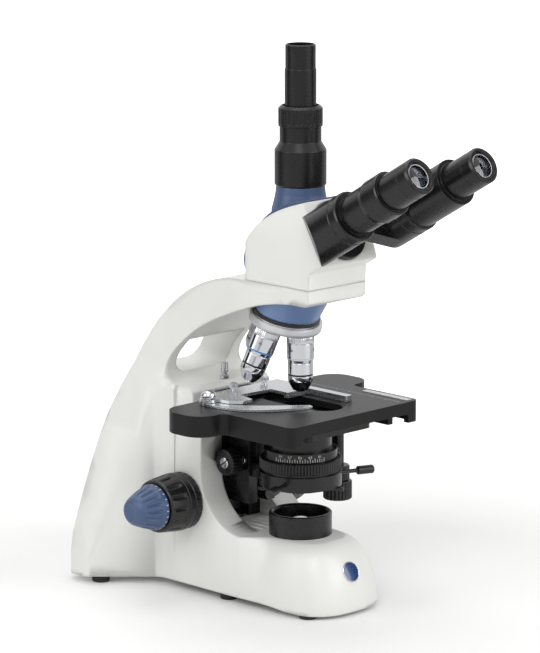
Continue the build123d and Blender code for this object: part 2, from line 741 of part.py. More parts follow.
pinion_frame = Plane(origin=(0, condenser_knob_y, condenser_knob_z), x_dir=(0, 1, 0), z_dir=(1, 0, 0))
condenser_pitch = condenser_module * condenser_teeth / 2
condenser_rack_y = condenser_knob_y - condenser_pitch
slide_back = column_front - running_gap
with BuildPart() as focus_slide:
    with BuildSketch(Plane.XY.offset(slide_low)):
        with Locations((0, (slide_front + slide_back) / 2)):
            Rectangle(2 * slide_half, slide_back - slide_front)
        with BuildLine():
            Polyline((-tongue_half + 1, slide_back - 1), (tongue_half - 1, slide_back - 1),
                     (tongue_half - 1, column_front), (tongue_half + 1, column_front + tongue_depth),
                     (-tongue_half - 1, column_front + tongue_depth), (-tongue_half + 1, column_front),
                     close=True)
        make_face()
    extrude(amount=slide_top - slide_low)
    with BuildSketch(Plane.XY.offset(slide_low)):
        with BuildLine():
            Polyline((-condenser_tongue_half - 1 - running_gap,
                      condenser_rack_y + condenser_module + 0.5),
                     (condenser_tongue_half + 1 + running_gap,
                      condenser_rack_y + condenser_module + 0.5),
                     (condenser_tongue_half + running_gap, slide_front),
                     (-condenser_tongue_half - running_gap, slide_front), close=True)
        make_face()
    extrude(amount=slide_top - slide_low, mode=Mode.SUBTRACT)
    turn(pinion_frame,
         [(0, -slide_half), (condenser_shaft_radius + shaft_gap, -slide_half),
          (condenser_shaft_radius + shaft_gap, -condenser_tongue_half),
          (condenser_pitch + 1.2, -condenser_tongue_half),
          (condenser_pitch + 1.2, condenser_tongue_half),
          (condenser_shaft_radius + shaft_gap, condenser_tongue_half),
          (condenser_shaft_radius + shaft_gap, slide_half), (0, slide_half)], Mode.SUBTRACT)
focus_slide.part.label = "focus_slide"
export_step(focus_slide.part, "parts/focus_slide.step")

rack_frame = Plane(origin=(0, rack_y, drive_z), x_dir=(0, 1, 0), z_dir=(1, 0, 0))
rack_back = rack_y - 1.2 * gear_module - (column_front + tongue_depth)
with BuildPart() as focus_rack:
    rack(rack_frame, gear_module, rack_low - drive_z, rack_low - drive_z + rack_length, rack_width,
         rack_back)
focus_rack.part.label = "focus_rack"
export_step(focus_rack.part, "parts/focus_rack.step")

bracket_top = stage_top_z - stage_deck - running_gap
with BuildPart() as stage_bracket:
    with BuildSketch(Plane.XY.offset(slide_top)):
        with Locations((0, (bracket_rear - 6 + column_front - 2) / 2)):
            RectangleRounded(2 * bracket_neck_half, column_front - 2 - bracket_rear + 6, 4)
    extrude(amount=bracket_neck_depth)
    with BuildSketch(Plane.XY.offset(slide_top + 4)):
        with Locations((0, (bracket_front + bracket_rear) / 2)):
            RectangleRounded(2 * bracket_half, bracket_rear - bracket_front, 6)
    extrude(amount=bracket_top - slide_top - 4)
    tube(Plane.XY, bracket_hole, 0, slide_top, bracket_top, Mode.SUBTRACT)
stage_bracket.part.label = "stage_bracket"
export_step(stage_bracket.part, "parts/stage_bracket.step")

# Stage plate with its skirt, guide ribs, slot and the tube of its low drive

stage_low = stage_top_z - stage_thickness
with BuildPart() as stage_top:
    with BuildSketch(Plane.XY.offset(stage_low)):
        with Locations((0, (stage_front + stage_rear) / 2)):
            RectangleRounded(2 * stage_half, stage_rear - stage_front, 6)
        with Locations((0, (ear_front + stage_rear) / 2)):
            RectangleRounded(2 * ear_half, stage_rear - ear_front, ear_radius)
        fillet(vertices().filter_by(lambda corner: abs(abs(corner.X) - stage_half) < 0.01
                                    and abs(corner.Y - ear_front) < 0.01), 6)
    extrude(amount=stage_thickness)
    with BuildSketch(Plane.XY.offset(stage_low)):
        with Locations((0, (stage_front + stage_rear) / 2)):
            Rectangle(2 * (stage_half - stage_skirt), stage_rear - stage_front - 2 * stage_skirt)
    extrude(amount=stage_thickness - stage_deck, mode=Mode.SUBTRACT)
    with BuildSketch(Plane.XY.offset(stage_low)):
        for side in (-1, 1):
            with Locations((side * (bracket_half + running_gap + guide_rib / 2),
                            (stage_front + stage_rear) / 2)):
                Rectangle(guide_rib, stage_rear - stage_front - stage_skirt)
    extrude(amount=stage_thickness - stage_deck)
    with BuildSketch(Plane.XY.offset(stage_top_z - stage_deck)):
        with Locations((0, -2)):
            SlotOverall(slot_length, 2 * slot_half, rotation=90)
    extrude(amount=stage_deck, mode=Mode.SUBTRACT)
    # Front skirt opened over the guide, and a bore for the drive's shaft
    with BuildSketch(Plane.XZ.offset(-stage_front - stage_skirt - 1)):
        with Locations((0, stage_low + 3)):
            RectangleRounded(2 * (stage_half - 12), 8, 2)
    extrude(amount=stage_skirt + 3, mode=Mode.SUBTRACT)
    drive_seat = Plane(origin=(stage_drive_x, stage_drive_y, stage_low))
    tube(drive_seat, 3 + shaft_gap, 0, 0, 6, Mode.SUBTRACT)
stage_top.part.label = "stage_top"
export_step(stage_top.part, "parts/stage_top.step")

with BuildPart() as stage_scale:
    with BuildSketch(Plane.XY.offset(stage_top_z)):
        with Locations((scale_x, stage_front + 4 + scale_length / 2)):
            Rectangle(scale_width, scale_length)
    extrude(amount=0.4)
stage_scale.part.label = "stage_scale"
export_step(stage_scale.part, "parts/stage_scale.step")

y_knob_top = stage_knob_low + x_knob_height + running_gap + y_knob_height
drive_tube_low = y_knob_top + running_gap
with BuildPart() as stage_drive_housing:
    turn(drive_seat,
         [(3 + shaft_gap, drive_tube_low - stage_low), (drive_tube_radius, drive_tube_low - stage_low),
          (drive_tube_radius, -6), (drive_tube_radius + 3, -3), (drive_tube_radius + 3, 0),
          (3 + shaft_gap, 0)])
stage_drive_housing.part.label = "stage_drive_housing"
export_step(stage_drive_housing.part, "parts/stage_drive_housing.step")


def grip(frame, radius, low, high, notches, depth):
    # A bevelled round grip with notches down its side.
    turn(frame,
         [(0, low), (radius - 0.8, low), (radius, low + 0.8), (radius, high - 0.8), (radius - 0.8, high),
          (0, high)])
    with BuildSketch(frame.offset(low)) as cuts:
        with PolarLocations(radius + depth, notches):
            Circle(2 * depth)
    extrude(cuts.sketch, amount=high - low, mode=Mode.SUBTRACT)


with BuildPart() as stage_y_knob:
    knob_low = y_knob_top - y_knob_height - stage_low
    grip(drive_seat, y_knob_radius, knob_low, knob_low + y_knob_height, 20, 0.7)
    tube(drive_seat, 3, 0, knob_low, knob_low + 44)
    tube(drive_seat, 2 + shaft_gap, 0, knob_low, knob_low + 44, Mode.SUBTRACT)
stage_y_knob.part.label = "stage_y_knob"
export_step(stage_y_knob.part, "parts/stage_y_knob.step")

with BuildPart() as stage_x_knob:
    knob_low = stage_knob_low - stage_low
    grip(drive_seat, x_knob_radius, knob_low, knob_low + x_knob_height, 24, 0.7)
    tube(drive_seat, 2, 0, knob_low + x_knob_height, -4)
stage_x_knob.part.label = "stage_x_knob"
export_step(stage_x_knob.part, "parts/stage_x_knob.step")

# Specimen holder: carriage, bridge with its fixed bar, and the spring finger

carriage_z = stage_top_z + running_gap
bridge_z = carriage_z + carriage_height
with BuildPart() as x_carriage:
    with BuildSketch(Plane.XY.offset(carriage_z)):
        with Locations(((carriage_left + carriage_right) / 2, carriage_front + carriage_depth / 2)):
            RectangleRounded(carriage_right - carriage_left, carriage_depth, 1.5)
    extrude(amount=carriage_height)
x_carriage.part.label = "x_carriage"
export_step(x_carriage.part, "parts/x_carriage.step")

with BuildPart() as specimen_bridge:
    with BuildSketch(Plane.XY.offset(bridge_z)):
        with BuildLine():
            FilletPolyline((bridge_left, bridge_rear), (bar_x + bar_width, bridge_rear),
                           (bar_x + bar_width, bar_front), (bar_x, bar_front), (bar_x, rest_y),
                           (0, rest_y), (0, bridge_front), (-31, bridge_front + 2), (-35, rest_y + 3),
                           (-46, rest_y + 3), (bridge_left - 2, 26), (bridge_left - 4, bridge_front + 5),
                           radius=1.2, close=True)
        make_face()
        with Locations((finger_pivot_x, finger_pivot_y)):
            Circle(finger_hub_radius)
    extrude(amount=bridge_thickness)
    # The bar and the slide's rest reach down to the stage plate
    with BuildSketch(Plane.XY.offset(carriage_z)):
        with Locations((bar_x + bar_width / 2, (bar_front + bridge_front) / 2)):
            Rectangle(bar_width, bridge_front - bar_front)
        with Locations((bar_x / 2, rest_y + 2)):
            Rectangle(bar_x, 4)
    extrude(amount=carriage_height)
    pin_frame = Plane(origin=(finger_pivot_x, finger_pivot_y, bridge_z))
    tube(pin_frame, finger_pin, 0, running_gap - carriage_height, 0)
specimen_bridge.part.label = "specimen_bridge"
export_step(specimen_bridge.part, "parts/specimen_bridge.step")

with BuildPart() as spring_finger:
    with BuildSketch(Plane.XY.offset(carriage_z)):
        with Locations((finger_pivot_x, finger_pivot_y)):
            Circle(finger_hub_radius)
        with BuildLine():
            outer = Spline((finger_pivot_x - finger_hub_radius + 0.3, finger_pivot_y - 1), (-63, 22),
                           (-55, 3), (-38, -13), (finger_tip_x - 1, finger_tip_y - 2))
            tip = Line(outer @ 1, (finger_tip_x + 1, finger_tip_y + 2.5))
            inner = Spline(tip @ 1, (-26, -6), (-41, 8.5), (-50, 22),
                           (finger_pivot_x + finger_hub_radius - 0.3, finger_pivot_y - 1))
            Line(inner @ 1, outer @ 0)
        make_face()
    extrude(amount=carriage_height - running_gap)
    tube(pin_frame, finger_pin + shaft_gap, 0, -carriage_height - 1, 1, Mode.SUBTRACT)
spring_finger.part.label = "spring_finger"
export_step(spring_finger.part, "parts/spring_finger.step")

# Condenser on its own slide, with iris ring, filter holder and centring screws

condenser_rack_frame = Plane(origin=(0, condenser_rack_y, condenser_knob_z), x_dir=(0, 1, 0),
                             z_dir=(1, 0, 0))
carrier_top = carrier_low + carrier_height
filter_pin = Plane(origin=(29.75 * cos(radians(filter_pivot_angle)),
                           29.75 * sin(radians(filter_pivot_angle)), 0))
screw_frames = []
for side in (-1, 1):
    reach = Vector(side * cos(radians(screw_angle)), -sin(radians(screw_angle)), 0)
    screw_frames.append(Plane(origin=reach * screw_reach + Vector(0, 0, screw_z), x_dir=(0, 0, 1),
                              z_dir=reach))

with BuildPart() as condenser_carrier:
    tube(Plane.XY, carrier_outer, carrier_inner, carrier_low, carrier_top)
    with BuildSketch(Plane.XY.offset(carrier_low)):
        with Locations((0, (carrier_inner + 0.8 + slide_front - running_gap) / 2)):
            Rectangle(24, slide_front - running_gap - carrier_inner - 0.8)
    extrude(amount=carrier_height)
    tube(Plane.XY, carrier_inner, 0, carrier_low, carrier_top, Mode.SUBTRACT)
    with BuildSketch(Plane.XY.offset(condenser_tongue_low)):
        with BuildLine():
            Polyline((-condenser_tongue_half + 0.4, slide_front - 4),
                     (condenser_tongue_half - 0.4, slide_front - 4),
                     (condenser_tongue_half - 0.4, slide_front),
                     (condenser_tongue_half + 0.2, condenser_rack_y - 1.2 * condenser_module),
                     (-condenser_tongue_half - 0.2, condenser_rack_y - 1.2 * condenser_module),
                     (-condenser_tongue_half + 0.4, slide_front), close=True)
        make_face()
    extrude(amount=carrier_top - condenser_tongue_low)
    with BuildSketch(Plane.XY.offset(carrier_top)):
        with BuildLine():
            Polyline((-condenser_tongue_half + 0.4, slide_front + running_gap),
                     (condenser_tongue_half - 0.4, slide_front + running_gap),
                     (condenser_tongue_half + 0.2, condenser_rack_y - 1.2 * condenser_module),
                     (-condenser_tongue_half - 0.2, condenser_rack_y - 1.2 * condenser_module),
                     close=True)
        make_face()
    extrude(amount=condenser_tongue_top - carrier_top)
    rack(condenser_rack_frame, condenser_module, condenser_tongue_low - condenser_knob_z,
         condenser_tongue_top - condenser_knob_z, 2 * condenser_tongue_half - 0.6, 2)
    for screw_frame in screw_frames:
        tube(screw_frame, screw_stem_radius + shaft_gap, 0, -screw_reach + carrier_inner - 1,
             -screw_reach + carrier_outer + 2, Mode.SUBTRACT)
    tube(filter_pin, 1.2 + shaft_gap, 0, carrier_low - 1, carrier_low + 5, Mode.SUBTRACT)
condenser_carrier.part.label = "condenser_carrier"
export_step(condenser_carrier.part, "parts/condenser_carrier.step")

ring_low = carrier_top + 2.3
ring_top = ring_low + aperture_ring_height
flange_low = ring_top + running_gap
barrel = carrier_inner - 1.2
with BuildPart() as condenser_body:
    turn(Plane.XY,
         [(condenser_bore, carrier_low + 0.5), (barrel, carrier_low + 0.5), (barrel, carrier_top),
          (carrier_outer - 2, carrier_top), (carrier_outer - 2, carrier_top + 2),
          (barrel - 0.5, carrier_top + 2), (barrel - 0.5, flange_low), (scale_ring_radius, flange_low),
          (scale_ring_radius, flange_low + scale_ring_height), (24, flange_low + scale_ring_height),
          (24, 136), (condenser_top_radius + 3, 142), (condenser_top_radius, 145),
          (condenser_top_radius, condenser_top_z), (condenser_bore + 0.2, condenser_top_z),
          (condenser_bore - 1, condenser_top_z - 1), (condenser_bore - 1, condenser_top_z - 9),
          (condenser_bore, condenser_top_z - 9)])
condenser_body.part.label = "condenser_body"
export_step(condenser_body.part, "parts/condenser_body.step")

with BuildPart() as condenser_lens:
    tube(Plane.XY, condenser_bore - 1 - shaft_gap, 0, condenser_top_z - 8, condenser_top_z - 1.6)
condenser_lens.part.label = "condenser_lens"
export_step(condenser_lens.part, "parts/condenser_lens.step")

with BuildPart() as aperture_ring:
    turn(Plane.XY, [(barrel - 0.4, ring_low), (aperture_ring_radius - 0.8, ring_low),
                    (aperture_ring_radius, ring_low + 0.8), (aperture_ring_radius, ring_top - 0.8),
                    (aperture_ring_radius - 0.8, ring_top), (barrel - 0.4, ring_top)])
    with BuildSketch(Plane.XY.offset(ring_low)):
        with PolarLocations(aperture_ring_radius + 0.8, 36):
            Circle(1.3)
    extrude(amount=aperture_ring_height, mode=Mode.SUBTRACT)
aperture_ring.part.label = "aperture_ring"
export_step(aperture_ring.part, "parts/aperture_ring.step")

filter_top = carrier_low - running_gap
with BuildPart() as filter_holder:
    tube(Plane.XY, filter_radius, filter_bore, filter_top - filter_height, filter_top)
    tube(Plane.XY, filter_bore + 1, filter_bore - 1, filter_top - filter_height,
         filter_top - filter_height + 0.8)
    with BuildSketch(Plane.XY.offset(filter_top - filter_height)):
        with Locations((filter_pin.origin.X, filter_pin.origin.Y)):
            Circle(4)
        with Locations(Location((0.5 * (filter_radius + 27) * cos(radians(filter_pivot_angle)),
                                 0.5 * (filter_radius + 27) * sin(radians(filter_pivot_angle)), 0),
                                (0, 0, filter_pivot_angle))):
            Rectangle(8, 6)
        with Locations(Location(((filter_radius + 6) * cos(radians(screw_angle - 90)),
                                 (filter_radius + 6) * sin(radians(screw_angle - 90)), 0),
                                (0, 0, screw_angle - 90))):
            SlotOverall(16, 6)
    extrude(amount=filter_height)
    tube(filter_pin, 1.2, 0, filter_top, filter_top + 4.5)
filter_holder.part.label = "filter_holder"
export_step(filter_holder.part, "parts/filter_holder.step")

for screw_frame, name in zip(screw_frames, ("centring_screw_left", "centring_screw_right")):
    with BuildPart() as centring_screw:
        turn(screw_frame,
             [(0, -screw_reach + carrier_inner - 0.6),
              (screw_stem_radius, -screw_reach + carrier_inner - 0.6), (screw_stem_radius, -14),
              (screw_grip_radius - 0.6, -14), (screw_grip_radius, -13.4), (screw_grip_radius, -1),
              (screw_grip_radius - 1, 0), (0, 0)])
    centring_screw.part.label = name
    export_step(centring_screw.part, f"parts/{name}.step")

knob_outer = across(-condenser_knob_x, condenser_knob_y, condenser_knob_z, -1)
with BuildPart() as condenser_knob:
    grip(knob_outer, condenser_knob_radius, 0, condenser_knob_length, 24, 0.7)
    tube(knob_outer, 6, 0, slide_half + running_gap - condenser_knob_x, 0)
    tube(pinion_frame, condenser_shaft_radius, 0, -slide_half - 1, slide_half)
    pinion(pinion_frame, condenser_module, condenser_teeth, 2 * condenser_tongue_half - 0.6)
condenser_knob.part.label = "condenser_knob"
export_step(condenser_knob.part, "parts/condenser_knob.step")

# Nosepiece: mount under the arm, turning turret and the four objectives

mount_low = turret_height + running_gap
with BuildPart() as nosepiece_mount:
    with BuildSketch(Plane(origin=(0, mount_centre_y, nose_underside))):
        Circle(mount_top_radius)
    with BuildSketch(turret_frame.offset(mount_low)):
        Circle(mount_low_radius)
    loft()
    tube(turret_frame, stud_radius - stud_gap, 0, -0.5, mount_low + 2)
    tube(Plane.XY, nose_bore - 1, 0, seat_z, nose_underside, Mode.SUBTRACT)
nosepiece_mount.part.label = "nosepiece_mount"
export_step(nosepiece_mount.part, "parts/nosepiece_mount.step")


def seat_frame(angle):
    # The frame of the objective seat at this angle round the turret, its axis pointing into the turret.
    radial = turret_frame.x_dir * cos(radians(angle)) + turret_frame.y_dir * sin(radians(angle))
    tangent = turret_frame.y_dir * cos(radians(angle)) - turret_frame.x_dir * sin(radians(angle))
    inward = turret_up * cos(turret_lean) - radial * sin(turret_lean)
    return Plane(origin=turret_centre + radial * seat_circle, x_dir=tangent, z_dir=inward)


cone_rise = tan(turret_lean)
with BuildPart() as nosepiece_turret:
    turn(turret_frame,
         [(0, -seat_circle * cone_rise), (turret_radius, (turret_radius - seat_circle) * cone_rise),
          (turret_radius, turret_rim - 1), (turret_radius - 1.2, turret_rim),
          (turret_collar, turret_rim), (turret_collar, turret_height - 0.6),
          (turret_collar - 0.6, turret_height), (stud_radius, turret_height), (stud_radius, -0.8),
          (0, -0.8)])
    for quarter in range(4):
        tube(seat_frame(90 * quarter), thread_radius + shaft_gap, 0, -8, 14, Mode.SUBTRACT)
nosepiece_turret.part.label = "nosepiece_turret"
export_step(nosepiece_turret.part, "parts/nosepiece_turret.step")


def objective(frame, length, body, tip):
    # Seated shoulder, barrel with a step and a groove, cone and bored tip.
    turn(frame,
         [(tip - lens_rim, -length), (tip, -length), (tip + 0.4, 1.3 - length),
          (body * 0.62, 2 - length), (body - 0.1, 9.7 - length), (body - 0.1, 15.4 - length),
          (body - 0.5, 15.6 - length), (body - 0.5, 16.4 - length), (body, 16.6 - length),
          (body, -length * 0.42), (body + 0.3, 0.3 - length * 0.42), (body + 0.3, 0), (thread_radius, 0),
          (thread_radius, thread_length), (objective_bore, thread_length), (objective_bore, 14 - length),
          (tip - lens_rim, 6 - length)])


with BuildPart() as objective_100x:
    objective(seat_frame(-90), objective_length, objective_radius, 3.2)
objective_100x.part.label = "objective_100x"
export_step(objective_100x.part, "parts/objective_100x.step")

with BuildPart() as objective_40x:
    objective(seat_frame(180), objective_length - 1, objective_radius, 4.6)
objective_40x.part.label = "objective_40x"
export_step(objective_40x.part, "parts/objective_40x.step")

with BuildPart() as objective_10x:
    objective(seat_frame(90), middle_length, objective_radius, 5.4)
objective_10x.part.label = "objective_10x"
export_step(objective_10x.part, "parts/objective_10x.step")

with BuildPart() as objective_4x:
    objective(seat_frame(0), short_length, objective_radius, 5.6)
objective_4x.part.label = "objective_4x"
export_step(objective_4x.part, "parts/objective_4x.step")

with BuildPart() as objective_lenses:
    tube(seat_frame(-90), 3.2 - lens_rim - shaft_gap, 0, 0.8 - objective_length, 4.5 - objective_length)
    tube(seat_frame(180), 4.6 - lens_rim - shaft_gap, 0, 1.8 - objective_length, 5.5 - objective_length)
    tube(seat_frame(90), 5.4 - lens_rim - shaft_gap, 0, 0.8 - middle_length, 4.5 - middle_length)
    tube(seat_frame(0), 5.6 - lens_rim - shaft_gap, 0, 0.8 - short_length, 4.5 - short_length)
objective_lenses.part.label = "objective_lenses"
export_step(objective_lenses.part, "parts/objective_lenses.step")

# Head: body on its dovetail, blue top cover, prism and the disc that carries the eye tubes

head_low = head_seam + running_gap
prism_centre = pivot_z + pivot_y * tan(pitch)
prism_floor = prism_centre - prism_size / 2
with BuildPart() as head_body:
    with BuildSketch(Plane.YZ):
        with BuildLine():
            base = Line((head_front + 1, head_low), (head_rear, head_low))
            back = Line(base @ 1, (head_rear, head_low + 13))
            crown = Spline(back @ 1, (33, 280), (26, 289), (17, 299), (5, 308), (-8, 314), (-27, 320.2))
            face = Line(crown @ 1, (-53, 275.2))
            chin = Line(face @ 1, (head_front, 268))
            Line(chin @ 1, base @ 0)
        make_face()
    extrude(amount=head_half, both=True)
    with BuildSketch(Plane.XZ.offset(60)):
        with BuildLine():
            Line((-head_half, head_low), (head_half, head_low))
            flank = Spline((head_half, head_low), (head_half, 275), (30, 295), (26.5, 309), (22, 322),
                           tangents=((0, 1), (-0.45, 1)))
            Line(flank @ 1, (-22, 322))
            Spline((-22, 322), (-26.5, 309), (-30, 295), (-head_half, 275), (-head_half, head_low),
                   tangents=((-0.45, -1), (0, -1)))
        make_face()
    extrude(amount=-120, mode=Mode.INTERSECT)
    with BuildSketch(Plane.XY.offset(head_low)):
        with Locations((0, (head_rear - 58) / 2)):
            RectangleRounded(2 * head_half, head_rear + 58, 12)
    extrude(amount=80, mode=Mode.INTERSECT)
    tube(Plane.XY, spigot_radius, 0, dovetail_floor + 1.8, head_low + 1)
    tube(Plane.XY, nose_bore + 0.5, 0, dovetail_floor, prism_floor + 1, Mode.SUBTRACT)
    tube(Plane.XY, nose_bore + 0.5, 0, prism_floor + prism_size, 330, Mode.SUBTRACT)
    with BuildSketch(Plane.XY.offset(prism_floor)):
        Rectangle(prism_size + 1.4, prism_size + 1.4)
    extrude(amount=prism_size + 1, mode=Mode.SUBTRACT)
    tube(face_frame, light_bore, 0, -46, 1, Mode.SUBTRACT)
    tube(face_frame, pivot_radius + 0.1, 0, -3, 6, Mode.SUBTRACT)
head_body.part.label = "head_body"
export_step(head_body.part, "parts/head_body.step")

with BuildPart() as head_top_cover:
    with BuildSketch(Plane.YZ):
        with BuildLine():
            outer = Spline((head_rear + 1.5, 262), (head_rear + 2.4, 270), (35, 281.5), (28, 291),
                           (19, 301), (7, 310), (-7, 316.4), (-20, 319.8))
            Line(outer @ 1, (-20, 300))
            Line((-20, 300), (head_rear - 10, 262))
            Line((head_rear - 10, 262), outer @ 0)
        make_face()
    extrude(amount=cover_half, both=True)
    turn(Plane.XY,
         [(0, 300), (22.6, 300), (22.2, 310), (20.6, 316), (19.3, 322), (phototube_radius - 1.2, 328),
          (0, 328)])
    tube(Plane.XY, nose_bore + 0.5, 0, prism_floor, phototube_low + 2, Mode.SUBTRACT)
    tube(Plane.XY, prism_size * 0.78, 0, head_low, prism_floor + prism_size + 1.2, Mode.SUBTRACT)
    add(head_body.part, mode=Mode.SUBTRACT)
head_top_cover.part.label = "head_top_cover"
export_step(head_top_cover.part, "parts/head_top_cover.step")

with BuildPart() as beam_splitter_prism:
    with BuildSketch(Plane.XY.offset(prism_floor)):
        Rectangle(prism_size, prism_size)
    extrude(amount=prism_size)
beam_splitter_prism.part.label = "beam_splitter_prism"
export_step(beam_splitter_prism.part, "parts/beam_splitter_prism.step")

right_leg = left_leg + arm_leg_depth + running_gap
sleeve_top = right_leg + arm_leg_depth + 1.4
with BuildPart() as pivot_disc:
    turn(face_frame, [(light_bore, -3), (pivot_radius, -3), (pivot_radius, 3.4), (pivot_radius - 0.6, 4),
                      (sleeve_radius, 4), (sleeve_radius, sleeve_top), (light_bore, sleeve_top)])
pivot_disc.part.label = "pivot_disc"
export_step(pivot_disc.part, "parts/pivot_disc.step")

# Eye tubes: mirrored arms that share the pivot, with mitred outer corners

for side, name, leg_low, mitre in ((-1, "left_tube_arm", left_leg, 6.2),
                                   (1, "right_tube_arm", right_leg, 20.0)):
    tube_frame = Plane(origin=pivot_point + Vector(side * tube_x, 0, 0) - tube_up * tube_drop,
                       x_dir=(1, 0, 0), z_dir=tube_out)
    with BuildPart() as tube_arm:
        with BuildSketch(face_frame.offset(leg_low)):
            Circle(sleeve_hub)
            with Locations((side * tube_x, -tube_drop)):
                Circle(arm_tube_radius)
            make_hull()
        extrude(amount=arm_leg_depth)
        turn(tube_frame,
             [(0, leg_low), (arm_tube_radius, leg_low), (arm_tube_radius, arm_length - 9),
              (arm_tube_radius - 0.5, arm_length - 8.5), (arm_tube_radius - 0.5, arm_length - 7.5),
              (arm_tube_radius, arm_length - 7), (arm_tube_radius, arm_length - 1),
              (arm_tube_radius - 1, arm_length), (0, arm_length)])
        if side > 0:
            with BuildSketch(face_frame.offset(leg_low + arm_leg_depth)):
                with Locations((tube_x, -tube_drop)):
                    Circle(arm_tube_radius - 2)
                with Locations((tube_x - 13, -tube_drop + 2)):
                    Circle(11)
                make_hull()
            extrude(amount=arm_length - leg_low - arm_leg_depth + 2)
            tube(tube_frame, neck_radius + 3.3, 0, arm_length, neck_top - 1)
        tube(tube_frame, neck_radius + 0.25, 0, arm_length, neck_top)
        with BuildSketch(section(tube_frame)):
            Polygon((side * -2.2, mitre - 2.2 - 3), (side * 30, mitre + 30), (side * 30, mitre - 5.2),
                    align=None)
        extrude(amount=2 * arm_tube_radius, both=True, mode=Mode.SUBTRACT)
        tube(tube_frame, eyepiece_barrel + shaft_gap, 0, leg_low + 14, neck_top + 1, Mode.SUBTRACT)
        with BuildSketch(face_frame.offset(leg_low + 2.6)):
            with Locations((side * tube_x / 2, -tube_drop / 2)):
                Rectangle(tube_x, 12)
        extrude(amount=arm_leg_depth - 5.2, mode=Mode.SUBTRACT)
        tube(face_frame, sleeve_radius + shaft_gap, 0, leg_low - 1, leg_low + arm_leg_depth + 1,
             Mode.SUBTRACT)
    tube_arm.part.label = name
    export_step(tube_arm.part, f"parts/{name}.step")

left_tube = Plane(origin=pivot_point - Vector(tube_x, 0, 0) - tube_up * tube_drop, x_dir=(1, 0, 0),
                  z_dir=tube_out)
right_tube = Plane(origin=pivot_point + Vector(tube_x, 0, 0) - tube_up * tube_drop, x_dir=(1, 0, 0),
                   z_dir=tube_out)
with BuildPart() as diopter_ring:
    turn(left_tube, [(neck_radius + 0.3, diopter_low), (diopter_radius - 1.2, diopter_low),
                     (diopter_radius - 1, diopter_low + 16), (diopter_radius, diopter_low + 20),
                     (diopter_radius, diopter_low + diopter_length - 1),
                     (diopter_radius - 1, diopter_low + diopter_length),
                     (neck_radius + 0.3, diopter_low + diopter_length)])
diopter_ring.part.label = "diopter_ring"
export_step(diopter_ring.part, "parts/diopter_ring.step")

head_of_eyepiece = neck_top + running_gap
eyepiece_top = head_of_eyepiece + eyepiece_length
for tube_frame, side_name in ((left_tube, "left"), (right_tube, "right")):
    with BuildPart() as eyepiece:
        turn(tube_frame,
             [(9.5, 70), (eyepiece_barrel, 70), (eyepiece_barrel, head_of_eyepiece),
              (eyepiece_radius, head_of_eyepiece), (eyepiece_radius, eyepiece_top - 1.5),
              (eyepiece_radius - 1.5, eyepiece_top), (11, eyepiece_top), (9.5, eyepiece_top - 2.6),
              (9.5, eyepiece_top - 3.4), (10, eyepiece_top - 3.4), (10, eyepiece_top - 8.4),
              (9.5, eyepiece_top - 8.4)])
    eyepiece.part.label = f"eyepiece_{side_name}"
    export_step(eyepiece.part, f"parts/eyepiece_{side_name}.step")
    with BuildPart() as eye_lens:
        lens(tube_frame.offset(eyepiece_top - 8.2), 9.9, 4, 2.2)
    eye_lens.part.label = f"eye_lens_{side_name}"
    export_step(eye_lens.part, f"parts/eye_lens_{side_name}.step")

# Phototube with its clamp ring and the sliding camera tube

with BuildPart() as phototube_body:
    turn(Plane.XY,
         [(nose_bore + 1, phototube_low), (phototube_radius - 1.2, phototube_low),
          (phototube_radius, phototube_low + 1.2), (phototube_radius, phototube_low + 27.7),
          (phototube_neck, cone_top), (phototube_neck, clamp_ring_low),
          (clamp_seat_radius, clamp_ring_low), (clamp_seat_radius, clamp_ring_low + 14.4),
          (tube_step_radius + shaft_gap, clamp_ring_low + 14.4),
          (tube_step_radius + shaft_gap, tube_low - running_gap),
          (nose_bore + 1, tube_low - running_gap)])
phototube_body.part.label = "phototube_body"
export_step(phototube_body.part, "parts/phototube_body.step")

with BuildPart() as phototube_clamp_ring:
    ring_seat = clamp_ring_low + running_gap
    turn(Plane.XY, [(clamp_seat_radius + shaft_gap, ring_seat), (clamp_ring_radius, ring_seat),
                    (clamp_ring_radius, ring_seat + clamp_ring_height - 2),
                    (clamp_ring_radius - 2, ring_seat + clamp_ring_height),
                    (clamp_seat_radius + shaft_gap, ring_seat + clamp_ring_height)])
    with BuildSketch(Plane.XY.offset(ring_seat + 2)):
        with PolarLocations(clamp_ring_radius + 0.9, 30):
            Circle(1.3)
    extrude(amount=clamp_ring_height - 4, mode=Mode.SUBTRACT)
phototube_clamp_ring.part.label = "phototube_clamp_ring"
export_step(phototube_clamp_ring.part, "parts/phototube_clamp_ring.step")

with BuildPart() as photo_tube:
    turn(Plane.XY, [(port_bore, tube_low), (tube_step_radius, tube_low), (tube_step_radius, tube_step_z),
                    (port_radius, tube_step_z), (port_radius, phototube_top - 0.6),
                    (port_radius - 0.6, phototube_top), (port_bore, phototube_top)])
photo_tube.part.label = "photo_tube"
export_step(photo_tube.part, "parts/photo_tube.step")
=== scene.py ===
import json
import math

import bmesh
import bpy
from mathutils import Matrix, Vector

